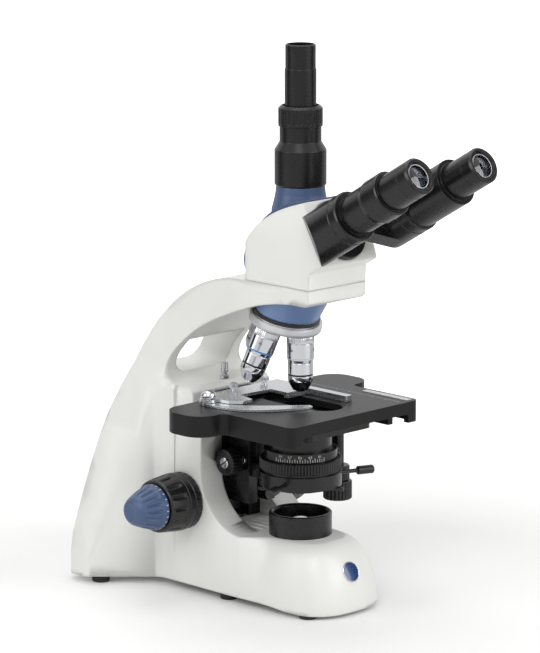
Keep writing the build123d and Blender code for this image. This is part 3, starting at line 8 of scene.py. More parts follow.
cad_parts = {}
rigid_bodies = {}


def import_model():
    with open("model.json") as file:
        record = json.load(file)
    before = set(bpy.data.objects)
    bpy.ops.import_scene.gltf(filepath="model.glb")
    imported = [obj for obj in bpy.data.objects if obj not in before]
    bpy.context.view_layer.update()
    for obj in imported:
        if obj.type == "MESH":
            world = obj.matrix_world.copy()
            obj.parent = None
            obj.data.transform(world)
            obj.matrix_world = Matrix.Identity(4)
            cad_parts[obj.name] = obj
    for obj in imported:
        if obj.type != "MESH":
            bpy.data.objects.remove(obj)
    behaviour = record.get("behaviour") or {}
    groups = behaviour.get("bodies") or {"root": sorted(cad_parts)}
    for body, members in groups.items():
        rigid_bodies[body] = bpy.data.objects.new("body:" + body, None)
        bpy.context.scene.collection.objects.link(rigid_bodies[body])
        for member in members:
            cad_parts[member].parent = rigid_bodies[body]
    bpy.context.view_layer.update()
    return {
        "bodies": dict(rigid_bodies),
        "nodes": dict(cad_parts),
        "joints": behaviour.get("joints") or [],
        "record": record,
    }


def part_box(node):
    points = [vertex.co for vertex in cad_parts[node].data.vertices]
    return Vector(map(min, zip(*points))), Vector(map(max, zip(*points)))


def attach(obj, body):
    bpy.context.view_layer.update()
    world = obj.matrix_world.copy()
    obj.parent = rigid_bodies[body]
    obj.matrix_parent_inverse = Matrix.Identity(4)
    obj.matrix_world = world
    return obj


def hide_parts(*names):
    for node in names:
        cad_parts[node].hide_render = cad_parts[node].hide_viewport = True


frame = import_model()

nodes = frame["nodes"]
scene = bpy.context.scene


def colour(code):
    # sRGB hex to the linear values that a socket takes
    parts = [int(code[i:i + 2], 16) / 255 for i in (1, 3, 5)]
    return [p / 12.92 if p <= 0.04045 else ((p + 0.055) / 1.055) ** 2.4 for p in parts] + [1.0]


# Camera at the photograph's angle

cameraValues = {
    "place": (-1.9278, -1.9086, 0.7757),
    "right": (0.7094, -0.7048, -0.0016),
    "up": (0.1430, 0.1418, 0.9795),
    "back": (-0.6901, -0.6951, 0.2014),
    "lens": 198.8,
    "sensor": 36,
    "clip": (0.1, 20),
    "frameHeight": 653,
    "centre": (270, 326.5),
}
cameraData = bpy.data.cameras.new("camera")
cameraData.lens = cameraValues["lens"]
cameraData.sensor_width = cameraValues["sensor"]
cameraData.clip_start, cameraData.clip_end = cameraValues["clip"]
camera = bpy.data.objects.new("camera", cameraData)
scene.collection.objects.link(camera)
axes = [Vector(cameraValues[k]) for k in ("right", "up", "back")]
cameraTurn = Matrix((axes[0], axes[1], axes[2])).transposed().to_4x4()
camera.matrix_world = Matrix.Translation(cameraValues["place"]) @ cameraTurn
scene.camera = camera
scene.view_settings.view_transform = "Standard"
print("camera placed")


# Shader groups shared by the materials

def newGroup(name, inputs, outputs):
    group = bpy.data.node_groups.new(name, "ShaderNodeTree")
    for label, kind, value in inputs:
        socket = group.interface.new_socket(label, in_out="INPUT", socket_type=kind)
        socket.default_value = value
    for label, kind in outputs:
        group.interface.new_socket(label, in_out="OUTPUT", socket_type=kind)
    return group, group.nodes.new("NodeGroupInput"), group.nodes.new("NodeGroupOutput")


def addNode(tree, kind, **values):
    node = tree.nodes.new(kind)
    for key, value in values.items():
        setattr(node, key, value)
    return node


def mathNode(tree, operation, a, b=None, clamp=False):
    node = addNode(tree, "ShaderNodeMath", operation=operation, use_clamp=clamp)
    for slot, value in enumerate((a, b)):
        if value is None:
            continue
        if isinstance(value, (int, float)):
            node.inputs[slot].default_value = value
        else:
            tree.links.new(value, node.inputs[slot])
    return node.outputs[0]


def noiseNode(tree, scale, detail=2.0, stretch=None):
    place = addNode(tree, "ShaderNodeTexCoord").outputs["Object"]
    if stretch:
        mapping = addNode(tree, "ShaderNodeMapping")
        mapping.inputs["Scale"].default_value = stretch
        tree.links.new(place, mapping.inputs["Vector"])
        place = mapping.outputs["Vector"]
    noise = addNode(tree, "ShaderNodeTexNoise")
    noise.inputs["Detail"].default_value = detail
    if isinstance(scale, (int, float)):
        noise.inputs["Scale"].default_value = scale
    else:
        tree.links.new(scale, noise.inputs["Scale"])
    tree.links.new(place, noise.inputs["Vector"])
    return noise.outputs["Fac"]


def makeEdgeGroup():
    # Edge mask, 0 on flats and 1 on bevelled edges, with the bevelled normal that rounds them. The finishes
    # mix a lighter edge colour by it: wear together with painted edge highlight
    tree, given, out = newGroup(
        "edgeMask",
        [("Radius", "NodeSocketFloat", 0.0008), ("Spread", "NodeSocketFloat", 0.12)],
        [("Mask", "NodeSocketFloat"), ("Round Normal", "NodeSocketVector")])
    bevel = addNode(tree, "ShaderNodeBevel", samples=6)
    tree.links.new(given.outputs["Radius"], bevel.inputs["Radius"])
    geometry = addNode(tree, "ShaderNodeNewGeometry")
    dot = addNode(tree, "ShaderNodeVectorMath", operation="DOT_PRODUCT")
    tree.links.new(bevel.outputs[0], dot.inputs[0])
    tree.links.new(geometry.outputs["Normal"], dot.inputs[1])
    away = mathNode(tree, "SUBTRACT", 1.0, dot.outputs["Value"])
    rough = noiseNode(tree, 420.0, 3.0)
    broken = mathNode(tree, "MULTIPLY", away, mathNode(tree, "ADD", rough, 0.4))
    mask = mathNode(tree, "DIVIDE", broken, given.outputs["Spread"], clamp=True)
    tree.links.new(mask, out.inputs["Mask"])
    tree.links.new(bevel.outputs[0], out.inputs["Round Normal"])
    return tree


def makeGrainGroup():
    # Fine orange peel or casting grain with slow blotches, as a height and two masks
    tree, given, out = newGroup(
        "surfaceGrain",
        [("Grain Scale", "NodeSocketFloat", 900.0), ("Blotch Scale", "NodeSocketFloat", 18.0)],
        [("Height", "NodeSocketFloat"), ("Grain", "NodeSocketFloat"), ("Blotch", "NodeSocketFloat")])
    grain = noiseNode(tree, given.outputs["Grain Scale"], 2.0)
    blotch = noiseNode(tree, given.outputs["Blotch Scale"], 4.0)
    height = mathNode(tree, "ADD", mathNode(tree, "MULTIPLY", grain, 0.8),
                      mathNode(tree, "MULTIPLY", blotch, 0.2))
    tree.links.new(height, out.inputs["Height"])
    tree.links.new(grain, out.inputs["Grain"])
    tree.links.new(blotch, out.inputs["Blotch"])
    return tree


edgeGroup = makeEdgeGroup()
grainGroup = makeGrainGroup()


def mixColour(tree, factor, a, b):
    mix = addNode(tree, "ShaderNodeMix", data_type="RGBA")
    tree.links.new(factor, mix.inputs[0])
    for slot, value in ((6, a), (7, b)):
        if isinstance(value, (list, tuple)):
            mix.inputs[slot].default_value = value
        else:
            tree.links.new(value, mix.inputs[slot])
    return mix.outputs[2]


def spread(tree, value, low, high):
    # Maps a 0 to 1 noise to a narrow range
    span = addNode(tree, "ShaderNodeMapRange")
    span.inputs["From Min"].default_value = 0.3
    span.inputs["From Max"].default_value = 0.7
    span.inputs["To Min"].default_value = low
    span.inputs["To Max"].default_value = high
    tree.links.new(value, span.inputs["Value"])
    return span.outputs[0]


def finish(name, base, dark, wornAndLitEdge, metal=0.0, rough=(0.3, 0.4), grain=900.0, blotch=18.0, bump=0.00002,
           edge=0.0006, spreadTo=0.2, coat=0.0, coatRough=0.1, specular=0.5, edgeWearAndHighlight=1.0, paintedTopTone=None):
    material = bpy.data.materials.new(name)
    material.use_nodes = True
    tree = material.node_tree
    shader = tree.nodes["Principled BSDF"]
    edges = addNode(tree, "ShaderNodeGroup", node_tree=edgeGroup)
    edges.inputs["Radius"].default_value = edge
    edges.inputs["Spread"].default_value = spreadTo
    surface = addNode(tree, "ShaderNodeGroup", node_tree=grainGroup)
    surface.inputs["Grain Scale"].default_value = grain
    surface.inputs["Blotch Scale"].default_value = blotch
    body = mixColour(tree, spread(tree, surface.outputs["Blotch"], 0.0, 1.0), colour(base), colour(dark))
    if paintedTopTone:
        # Painted top tone: upward faces mix toward a colour of their own, standing in for how the light falls
        # on the top
        normal = addNode(tree, "ShaderNodeSeparateXYZ")
        tree.links.new(addNode(tree, "ShaderNodeNewGeometry").outputs["Normal"], normal.inputs[0])
        paintedTopMask = mathNode(tree, "POWER", mathNode(tree, "MAXIMUM", normal.outputs[2], 0.0), 4.0)
        body = mixColour(tree, paintedTopMask, body, colour(paintedTopTone))
    # Edges mix toward the lighter edge colour: wear together with painted edge highlight
    edgeWearAndHighlightMask = mathNode(tree, "MULTIPLY", edges.outputs["Mask"], edgeWearAndHighlight)
    tree.links.new(mixColour(tree, edgeWearAndHighlightMask, body, colour(wornAndLitEdge)), shader.inputs["Base Color"])
    tree.links.new(spread(tree, surface.outputs["Grain"], rough[0], rough[1]), shader.inputs["Roughness"])
    heightBump = addNode(tree, "ShaderNodeBump")
    heightBump.inputs["Strength"].default_value = 1.0
    heightBump.inputs["Distance"].default_value = bump
    tree.links.new(surface.outputs["Height"], heightBump.inputs["Height"])
    tree.links.new(edges.outputs["Round Normal"], heightBump.inputs["Normal"])
    tree.links.new(heightBump.outputs[0], shader.inputs["Normal"])
    shader.inputs["Metallic"].default_value = metal
    shader.inputs["Coat Weight"].default_value = coat
    shader.inputs["Coat Roughness"].default_value = coatRough
    shader.inputs["Specular IOR Level"].default_value = specular
    return material


def glassFinish(name, base, tint):
    material = bpy.data.materials.new(name)
    material.use_nodes = True
    tree = material.node_tree
    shader = tree.nodes["Principled BSDF"]
    surface = addNode(tree, "ShaderNodeGroup", node_tree=grainGroup)
    surface.inputs["Grain Scale"].default_value = 300
    surface.inputs["Blotch Scale"].default_value = 60
    body = mixColour(tree, surface.outputs["Blotch"], colour(base), colour(tint))
    tree.links.new(body, shader.inputs["Base Color"])
    tree.links.new(spread(tree, surface.outputs["Grain"], 0.01, 0.04), shader.inputs["Roughness"])
    shader.inputs["Transmission Weight"].default_value = 1.0
    shader.inputs["IOR"].default_value = 1.52
    shader.inputs["Coat Weight"].default_value = 0.5
    return material


# Each finish: base, slow blotch and edge colours, the edge colour being wear together with painted edge
# highlight, then what differs from the plain values

finishes = {
    "whitePaint": finish("whitePaint", "#E9E9E6", "#E4E4E0", "#F4F4F1", rough=(0.34, 0.42), bump=0.000012,
                         edge=0.003, coat=0.15, coatRough=0.25, edgeWearAndHighlight=0.3),
    "bluePlastic": finish("bluePlastic", "#43587C", "#3D5173", "#6D83A6", rough=(0.34, 0.44), edge=0.001,
                          edgeWearAndHighlight=0.5),
    "bluePaint": finish("bluePaint", "#6C84AE", "#627AA3", "#8FA4C6", rough=(0.3, 0.38), edge=0.0008,
                        edgeWearAndHighlight=0.5),
    "blackMetal": finish("blackMetal", "#101011", "#0C0C0D", "#343436", rough=(0.26, 0.31), bump=0.000002,
                         edge=0.0005, edgeWearAndHighlight=0.5, specular=0.4),
    "blackPlastic": finish("blackPlastic", "#101112", "#0C0C0D", "#303133", rough=(0.32, 0.4),
                           bump=0.000006, edge=0.0005, grain=1400, edgeWearAndHighlight=0.5),
    "blackRubber": finish("blackRubber", "#212224", "#1A1B1D", "#37383A", rough=(0.62, 0.78), bump=0.00003),
    # The stage's upward faces are mixed toward a darker colour: painted shade on its top
    "stageBlack": finish("stageBlack", "#1C1B1B", "#171616", "#4A4745", rough=(0.3, 0.42), bump=0.000008,
                         edge=0.0005, grain=1600, edgeWearAndHighlight=0.7, specular=0.18, paintedTopTone="#161616"),
    "chrome": finish("chrome", "#C9CACE", "#BFC0C5", "#E6E7EA", metal=1.0, rough=(0.07, 0.11),
                     bump=0.0000008, edge=0.0003, edgeWearAndHighlight=0.3),
    "steel": finish("steel", "#C6C8CB", "#B9BBBE", "#DDDEE0", metal=0.9, rough=(0.24, 0.3), bump=0.000001,
                    edge=0.0003, edgeWearAndHighlight=0.3),
    "brass": finish("brass", "#B4924E", "#9D7D3E", "#D6B878", metal=1.0, rough=(0.25, 0.38), bump=0.000008,
                    edge=0.0003),
    "lensGlass": glassFinish("lensGlass", "#C3D0E2", "#8E9CC4"),
    "crystal": glassFinish("crystal", "#F2F6FA", "#E2ECF4"),
    "deepBlack": finish("deepBlack", "#0C0C0D", "#08080A", "#232325", rough=(0.35, 0.5), edge=0.0001),
    "paintWhite": finish("paintWhite", "#E4E4E0", "#D6D6D2", "#F2F2F0", rough=(0.45, 0.6), edge=0.0001),
    "ringWhite": finish("ringWhite", "#DEDFE0", "#CFD0D2", "#F0F0F1", metal=0.6, rough=(0.2, 0.3),
                        edge=0.0002),
    "ringBlue": finish("ringBlue", "#2C8FD6", "#2280C6", "#6DB6E8", rough=(0.25, 0.35), edge=0.0002),
    "ringYellow": finish("ringYellow", "#E2B631", "#D0A524", "#F0CF6B", rough=(0.25, 0.35), edge=0.0002),
    "ringRed": finish("ringRed", "#C23A32", "#AF312A", "#DD726B", rough=(0.25, 0.35), edge=0.0002),
    "tipSteel": finish("tipSteel", "#3C3D40", "#2F3033", "#6D6E72", metal=0.9, rough=(0.2, 0.3), edge=0.0003),
    "whiteGlass": finish("whiteGlass", "#D9DCDF", "#CBCFD4", "#F2F3F4", rough=(0.06, 0.1), coat=1.0,
                         edge=0.0002),
    "discBlue": finish("discBlue", "#1F4378", "#1A3A6A", "#3C6096", rough=(0.2, 0.3), coat=0.6, edge=0.0003),
    "scaleSilver": finish("scaleSilver", "#D0D1D3", "#C4C5C7", "#E6E6E8", metal=0.8, rough=(0.3, 0.42),
                          edge=0.0002),
}
slotFinish = {
    "white_paint": "whitePaint",
    "blue_plastic": "bluePlastic",
    "blue_paint": "bluePaint",
    "black_metal": "blackMetal",
    "black_plastic": "blackPlastic",
    "black_rubber": "blackRubber",
    "stage_black": "stageBlack",
    "chrome": "chrome",
    "steel": "steel",
    "brass": "brass",
    "lens_glass": "lensGlass",
    "crystal": "crystal",
    "scale_silver": "scaleSilver",
}
darkNodes = {"focus_rack": "blackMetal", "stage_drive_housing": "blackMetal"}
for entry in frame["record"]["subparts"]:
    thing = nodes[entry["node"]]
    thing.data.materials.clear()
    thing.data.materials.append(finishes[darkNodes.get(entry["node"], slotFinish[entry["material_slot"]])])
print("finishes made")


# Frames and helpers for the added pieces, in metres and in the row frame

mm = 0.001
pitch = math.radians(30)
tubeOut = Vector((0, -math.cos(pitch), math.sin(pitch)))
lean = math.radians(15)
turretUp = Vector((0, -math.sin(lean), math.cos(lean)))
turretOut = Vector((0, math.cos(lean), math.sin(lean)))
turretCentre = Vector((0, 0, 0.2125)) + turretOut * 0.0175


def axisFrame(origin, axis, side):
    axis = Vector(axis).normalized()
    side = Vector(side)
    side = (side - axis * side.dot(axis)).normalized()
    basis = Matrix((side, axis.cross(side), axis)).transposed().to_4x4()
    return Matrix.Translation(origin) @ basis


def seatFrame(angle):
    # The seat of an objective, its axis pointing into the turret
    radial = Vector((1, 0, 0)) * math.cos(angle) + turretUp.cross(Vector((1, 0, 0))) * math.sin(angle)
    inward = turretUp * math.cos(lean) - radial * math.sin(lean)
    return axisFrame(turretCentre + radial * 0.0175, inward, turretUp.cross(radial))


def keep(name, bm, frame, finishNames, body, replaced=(), smooth=35):
    bmesh.ops.recalc_face_normals(bm, faces=bm.faces)
    mesh = bpy.data.meshes.new(name)
    bm.to_mesh(mesh)
    bm.free()
    mesh.transform(frame)
    for finishName in finishNames:
        mesh.materials.append(finishes[finishName])
    mesh.shade_smooth()
    mesh.set_sharp_from_angle(angle=math.radians(smooth))
    thing = bpy.data.objects.new(name, mesh)
    scene.collection.objects.link(thing)
    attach(thing, body)
    if replaced:
        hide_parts(*replaced)
    return thing


def finishIndex(point):
    return point[2] if len(point) > 2 else 0


def turned(name, profile, frame, finishNames, body, replaced=(), closed=False, steps=96,
           flutes=(1, 1)):
    # A turned form. A point is (radius, height) in mm, then finish index and flute depth where not 0.
    # The flutes are (count, sharpness)
    bm = bmesh.new()
    rings = []
    for point in profile:
        depth = point[3] if len(point) > 3 else 0
        ring = []
        for step in range(steps):
            angle = 2 * math.pi * step / steps
            cut = depth * max(0.0, 0.5 + 0.5 * math.cos(flutes[0] * angle)) ** flutes[1]
            reach = (point[0] - cut) * mm
            ring.append(bm.verts.new((reach * math.cos(angle), reach * math.sin(angle), point[1] * mm)))
        rings.append(ring)
    pairs = list(zip(range(len(rings) - 1), range(1, len(rings))))
    if closed:
        pairs.append((len(rings) - 1, 0))
    for low, high in pairs:
        for step in range(steps):
            after = (step + 1) % steps
            corners = (rings[low][step], rings[low][after], rings[high][after], rings[high][step])
            bm.faces.new(corners).material_index = finishIndex(profile[low])
    if not closed:
        bm.faces.new(rings[0]).material_index = finishIndex(profile[0])
        bm.faces.new(rings[-1]).material_index = finishIndex(profile[-1])
    return keep(name, bm, frame, finishNames, body, replaced)


def block(bm, low, high, frame=Matrix.Identity(4)):
    # Adds a box between two corners in mm, placed by a frame in metres
    size = [(b - a) * mm for a, b in zip(low, high)]
    middle = [(b + a) * mm / 2 for a, b in zip(low, high)]
    place = frame @ Matrix.Translation(middle) @ Matrix.Diagonal((*size, 1))
    bmesh.ops.create_cube(bm, size=1.0, matrix=place)


def ringTicks(name, frame, radius, marks, finishName, body, width=0.35, proud=0.06):
    # Engraved marks round a drum: (angle in degrees, low, high) in mm
    bm = bmesh.new()
    for angle, low, high in marks:
        spin = Matrix.Rotation(math.radians(angle), 4, "Z")
        block(bm, (radius - 0.3, -width / 2, low), (radius + proud, width / 2, high), spin)
    return keep(name, bm, frame, [finishName], body)


def ringText(name, frame, radius, words, size, height, finishName, body, proud=0.06):
    # Plain numbers wrapped round a drum: (angle in degrees, text)
    bm = bmesh.new()
    for angle, word in words:
        curve = bpy.data.curves.new(name + "Word", "FONT")
        curve.body = word
        curve.size = size
        curve.align_x = "CENTER"
        curve.extrude = 0.15
        holder = bpy.data.objects.new(name + "Word", curve)
        scene.collection.objects.link(holder)
        bpy.context.view_layer.update()
        flat = bpy.data.meshes.new_from_object(holder.evaluated_get(bpy.context.evaluated_depsgraph_get()))
        bpy.data.objects.remove(holder)
        for vertex in flat.vertices:
            x, y, z = vertex.co
            turn = math.radians(angle) + x / radius
            reach = radius - 0.15 + proud + z
            vertex.co = (reach * math.cos(turn) * mm, reach * math.sin(turn) * mm, (height + y) * mm)
        bm.from_mesh(flat)
        bpy.data.meshes.remove(flat)
    return keep(name, bm, frame, [finishName], body)


def slottedScrew(name, frame, radius, height, body, finishName="chrome"):
    head = [(radius, -0.3), (radius, height * 0.5), (radius * 0.9, height * 0.85), (radius * 0.45, height)]
    turned(name, head, frame, [finishName], body, steps=40)
    # The slot is not cut: a black bar on the head stands in for it, as painted shade where the slot's hollow
    # would be
    bm = bmesh.new()
    slotLow = (-radius * 0.86, -radius * 0.12, height * 0.75)
    slotHigh = (radius * 0.86, radius * 0.12, height + 0.06)
    block(bm, slotLow, slotHigh, Matrix.Rotation(math.radians(35), 4, "Z"))
    keep(name + "SlotShade", bm, frame, ["deepBlack"], body)


def pixelHit(thing, px, py):
    # Where the camera's ray through a pixel of the photograph meets a piece
    focal = cameraValues["lens"] / cameraValues["sensor"] * cameraValues["frameHeight"]
    middleX, middleY = cameraValues["centre"]
    ray = axes[0] * (px - middleX) / focal + axes[1] * (middleY - py) / focal - axes[2]
    found, place, normal, _ = thing.ray_cast(Vector(cameraValues["place"]), ray.normalized())
    return (place, normal) if found else (None, None)


bpy.context.view_layer.update()
atRest = Matrix.Identity(4)

# Objectives: chrome sleeves with a coloured ring, grooves and a bored tip

objectives = {
    "100x": {"angle": -90, "length": 45.2, "tip": 3.2, "step": 26.0, "ring": "ringWhite", "lower": "tipSteel"},
    "40x": {"angle": 180, "length": 44.2, "tip": 4.6, "step": 25.4, "ring": "ringBlue", "lower": "chrome"},
    "10x": {"angle": 90, "length": 36.0, "tip": 5.4, "step": 19.0, "ring": "ringYellow", "lower": "chrome"},
    "4x": {"angle": 0, "length": 28.0, "tip": 5.6, "step": 15.0, "ring": "ringRed", "lower": "chrome"},
}
sleeveRadius = 10.6
for label, values in objectives.items():
    low, step, tip = -values["length"], values["step"] - values["length"], values["tip"]
    profile = [
        (tip - 1.2, low, 2), (tip, low, 2), (tip + 0.3, low + 0.9, 2), (5.8, low + 1.2, 2),
        (6.3, low + 2.0, 2), (8.2, low + 5.2, 2), (9.5, low + 8.0, 2), (9.8, low + 8.6), (9.85, low + 12.6),
        (9.6, low + 12.8, 3), (9.6, low + 14.0, 3), (9.85, low + 14.2), (9.85, step - 3.4),
        (9.65, step - 3.2), (9.65, step - 2.6), (9.9, step - 2.4), (10.2, step - 0.6, 1),
        (10.35, step - 0.5, 1), (10.35, step + 0.5, 1), (sleeveRadius, step + 0.6), (sleeveRadius, -7.2),
        (sleeveRadius - 0.3, -7.0), (sleeveRadius - 0.3, -6.6), (sleeveRadius, -6.4, 0, 0.3),
        (sleeveRadius, -2.0, 0, 0.3), (sleeveRadius - 0.4, -1.6), (9.4, -1.2), (9.4, 4.0), (6.5, 4.0),
        (6.5, low + 14, 3), (tip - 1.2, low + 6, 3),
    ]
    frameHere = seatFrame(math.radians(values["angle"]))
    name = "objective" + label
    turned(name, profile, frameHere, ["chrome", values["ring"], values["lower"], "deepBlack"], "turret",
           replaced=["objective_" + label], closed=True, steps=288, flutes=(48, 1))
    words = [(angle, label[:-1]) for angle in (-60, 60, 180)]
    ringText(name + "Number", frameHere, sleeveRadius, words, 3.0, -13.0, "deepBlack", "turret")
print("objectives made")

# Turret: black band under the blue mount and a knurled lower rim

turretFrame = axisFrame(turretCentre, turretUp, (1, 0, 0))
turretParts = {
    "band": [(25.3, 8.0), (26.0, 8.2), (26.0, 10.9), (25.3, 11.1)],
    "rim": [(28.2, 1.2), (28.49, 1.5, 0, 0.28), (28.49, 5.6, 0, 0.28), (28.2, 5.9)],
    "rimFlutes": (120, 1),
}
turned("turretBand", turretParts["band"], turretFrame, ["deepBlack"], "turret", closed=True)
turned("turretRim", turretParts["rim"], turretFrame, ["scaleSilver"], "turret", closed=True,
       steps=720, flutes=turretParts["rimFlutes"])

# Condenser: knurled aperture ring, scale on the drum above it, the knob's face and screw, the iris lever

condenser = {
    "ring": [(25.9, 107.3), (31.2, 107.3), (32.0, 107.9, 0, 1.3), (32.0, 115.2, 0, 1.3), (31.2, 115.8),
             (25.9, 115.8)],
    "ringFlutes": (80, 2),
    "drumRadius": 28.5,
    "words": ("0.9", "0.7", "0.5", "0.3", "0.1"),
    "knobPlace": (-0.0297, 0.054, 0.106),
    "knobFace": [(5.2, -0.4), (8.9, -0.4), (9.0, 0.15), (8.6, 0.35), (5.4, 0.1)],
    "leverAngle": 8,
    "leverReach": 0.031,
    "leverHeight": 0.1105,
    "lever": [(0.5, -1), (1.3, -1), (1.3, 6), (2.4, 6.4), (3.0, 7.2), (3.0, 17.4), (2.2, 18.4), (0.8, 18.6)],
}
turned("apertureRing", condenser["ring"], atRest, ["blackPlastic"], "aperture_ring",
       replaced=["aperture_ring"], closed=True, steps=960, flutes=condenser["ringFlutes"])
scaleMarks = [(a, 116.6, 118.8 if i % 2 else 119.8) for i, a in enumerate(range(-176, -92, 4))]
ringTicks("apertureScale", atRest, condenser["drumRadius"], scaleMarks, "paintWhite", "condenser")
scaleWords = list(zip(range(-168, -98, 16), condenser["words"]))
ringText("apertureNumbers", atRest, condenser["drumRadius"], scaleWords, 2.4, 120.2, "paintWhite",
         "condenser")
knobFrame = Matrix.Translation(condenser["knobPlace"]) @ axisFrame((0, 0, 0), (-1, 0, 0), (0, 1, 0))
turned("condenserKnobFace", condenser["knobFace"], knobFrame, ["blackMetal"], "condenser_knob",
       closed=True)
slottedScrew("condenserKnobScrew", knobFrame, 4.4, 1.2, "condenser_knob")
leverAngle = math.radians(condenser["leverAngle"])
leverOut = Vector((math.cos(leverAngle), math.sin(leverAngle), 0))
leverFoot = leverOut * condenser["leverReach"] + Vector((0, 0, condenser["leverHeight"]))
turned("irisLever", condenser["lever"], axisFrame(leverFoot, leverOut, (0, 0, 1)), ["blackMetal"],
       "aperture_ring", steps=48)
print("condenser dressed")

# Stand: the casting's copy with a rounded toe, and its cover and feet fitted to the toe

toe = {
    "half": 44.5,
    "front": 61.0,
    "power": 3.0,
    "seam": 25.0,
    "edge": 3.2,
    "columnHalf": 44.85,
    # Share of the full outline at each height in mm
    "rise": [(6, 0.985), (9, 1.0), (14, 0.997), (20, 0.98), (26, 0.95), (33, 0.913), (40, 0.86), (46, 0.8),
             (50, 0.74), (53, 0.665), (54.3, 0.6), (54.7, 0.555)],
    "hollow": [(-1, 0.97), (6, 0.97), (20, 0.96), (33, 0.9), (44, 0.82)],
    "wall": 5.5,
    "lightHole": 0.013,
}
stand = {
    # Half width of the column's flank at each height in mm
    "flank": [(6, 45.0), (60, 44.4), (140, 42.6), (180, 39.5)],
    "window": ((-30, 92, 169.5), (30, 200, 213.5)),
    "windowCorner": 11,
    "feet": ((72, 152, 6), (35, 44, 6), (31, -39, 4.4)),
    "footRadii": (0.0068, 0.0076),
}


def easeIn(value):
    value = min(1.0, max(0.0, value))
    return value * value * (3 - 2 * value)


def toeSolid(levels, inset, seam, flatBottom):
    # Horizontal outlines stacked up the toe: straight flanks behind the lamp, a full curve in front of it
    bm = bmesh.new()
    rings = []
    for level, share in levels:
        outline = []
        half, front = toe["half"] * share - inset, toe["front"] * share - inset
        for step in range(8):
            y = seam * (1 - step / 8)
            outline.append((half + (toe["columnHalf"] - inset - half) * easeIn(y / toe["seam"]), y))
        for step in range(29):
            angle = math.pi / 2 * step / 28
            outline.append((half * math.cos(angle) ** (2 / toe["power"]) if step < 28 else 0.0,
                            -front * math.sin(angle) ** (2 / toe["power"])))
        outline += [(-x, y) for x, y in reversed(outline[:-1])]
        ring = []
        for x, y in outline:
            drop = 0.0
            if not flatBottom:
                drop = (6 - toe["edge"]) * easeIn(-y / 45) * max(0.0, 1 - (level - 6) / 14)
            ring.append(bm.verts.new((x * mm, y * mm, (level - drop) * mm)))
        rings.append(ring)
    for low, high in zip(rings, rings[1:]):
        for step in range(len(low)):
            after = (step + 1) % len(low)
            bm.faces.new((low[step], low[after], high[after], high[step]))
    bm.faces.new(rings[0])
    bm.faces.new(rings[-1])
    bmesh.ops.recalc_face_normals(bm, faces=bm.faces)
    return meshObject("toeTool", bm)


def meshObject(name, bm):
    mesh = bpy.data.meshes.new(name)
    bm.to_mesh(mesh)
    bm.free()
    thing = bpy.data.objects.new(name, mesh)
    scene.collection.objects.link(thing)
    return thing


def blockObject(low, high, corner=0.0):
    # A block to cut with, its edges along Y rounded by corner in mm
    bm = bmesh.new()
    block(bm, low, high)
    if corner:
        along = [e for e in bm.edges if abs(e.verts[0].co.y - e.verts[1].co.y) > 1e-6]
        bmesh.ops.bevel(bm, geom=along, offset=corner * mm, segments=8, affect="EDGES", profile=0.5)
    return meshObject("blockTool", bm)


def applied(thing):
    bpy.context.view_layer.update()
    evaluated = thing.evaluated_get(bpy.context.evaluated_depsgraph_get())
    result = bpy.data.meshes.new_from_object(evaluated)
    thing.modifiers.clear()
    thing.data = result


def shaped(thing, operation, tool):
    modifier = thing.modifiers.new("cut", "BOOLEAN")
    modifier.operation = operation
    modifier.solver = "EXACT"
    modifier.object = tool
    applied(thing)
    bpy.data.objects.remove(tool)


def nodeCopy(node, name):
    bm = bmesh.new()
    bm.from_mesh(nodes[node].data)
    bm.transform(nodes[node].matrix_world)
    bmesh.ops.remove_doubles(bm, verts=bm.verts, dist=1e-6)
    return meshObject(name, bm)


def finishCopy(thing, finishName, body, replaced, smooth=30):
    thing.data.materials.clear()
    thing.data.materials.append(finishes[finishName])
    for face in thing.data.polygons:
        face.material_index = 0
    thing.data.shade_smooth()
    thing.data.set_sharp_from_angle(angle=math.radians(smooth))
    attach(thing, body)
    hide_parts(*replaced)


casting = nodeCopy("stand_casting", "standCasting")
for vertex in casting.data.vertices:
    # The step where the flare starts is closed against the column's flank
    x, y, z = (c / mm for c in vertex.co)
    if abs(y - 95) < 0.05 and abs(x) > 44.5 and z < 158:
        for (lowZ, lowX), (highZ, highX) in zip(stand["flank"], stand["flank"][1:]):
            if lowZ <= z <= highZ:
                flank = lowX + (highX - lowX) * (z - lowZ) / (highZ - lowZ)
                vertex.co.x = math.copysign(flank * mm, x)
shaped(casting, "DIFFERENCE", blockObject((-60, -95, -1), (60, toe["seam"], 100)))
nose = toeSolid(toe["rise"], 0.0, toe["seam"] + 0.4, False)
shaped(nose, "DIFFERENCE", toeSolid(toe["hollow"], toe["wall"], toe["seam"] + 3, True))
bm = bmesh.new()
bmesh.ops.create_cone(bm, cap_ends=True, segments=64, radius1=toe["lightHole"], radius2=toe["lightHole"],
                      depth=0.04, matrix=Matrix.Translation((0, 0, 0.05)))
shaped(nose, "DIFFERENCE", meshObject("lightHole", bm))
shaped(casting, "UNION", nose)
shaped(casting, "DIFFERENCE", blockObject(*stand["window"], stand["windowCorner"]))
finishCopy(casting, "whitePaint", "stand", ["stand_casting"])
# Large faces lead the shading, so that the cuts leave no shade on the flanks
weighted = casting.modifiers.new("normals", "WEIGHTED_NORMAL")
weighted.mode = "FACE_AREA_WITH_ANGLE"
weighted.weight = 80
weighted.keep_sharp = True
applied(casting)

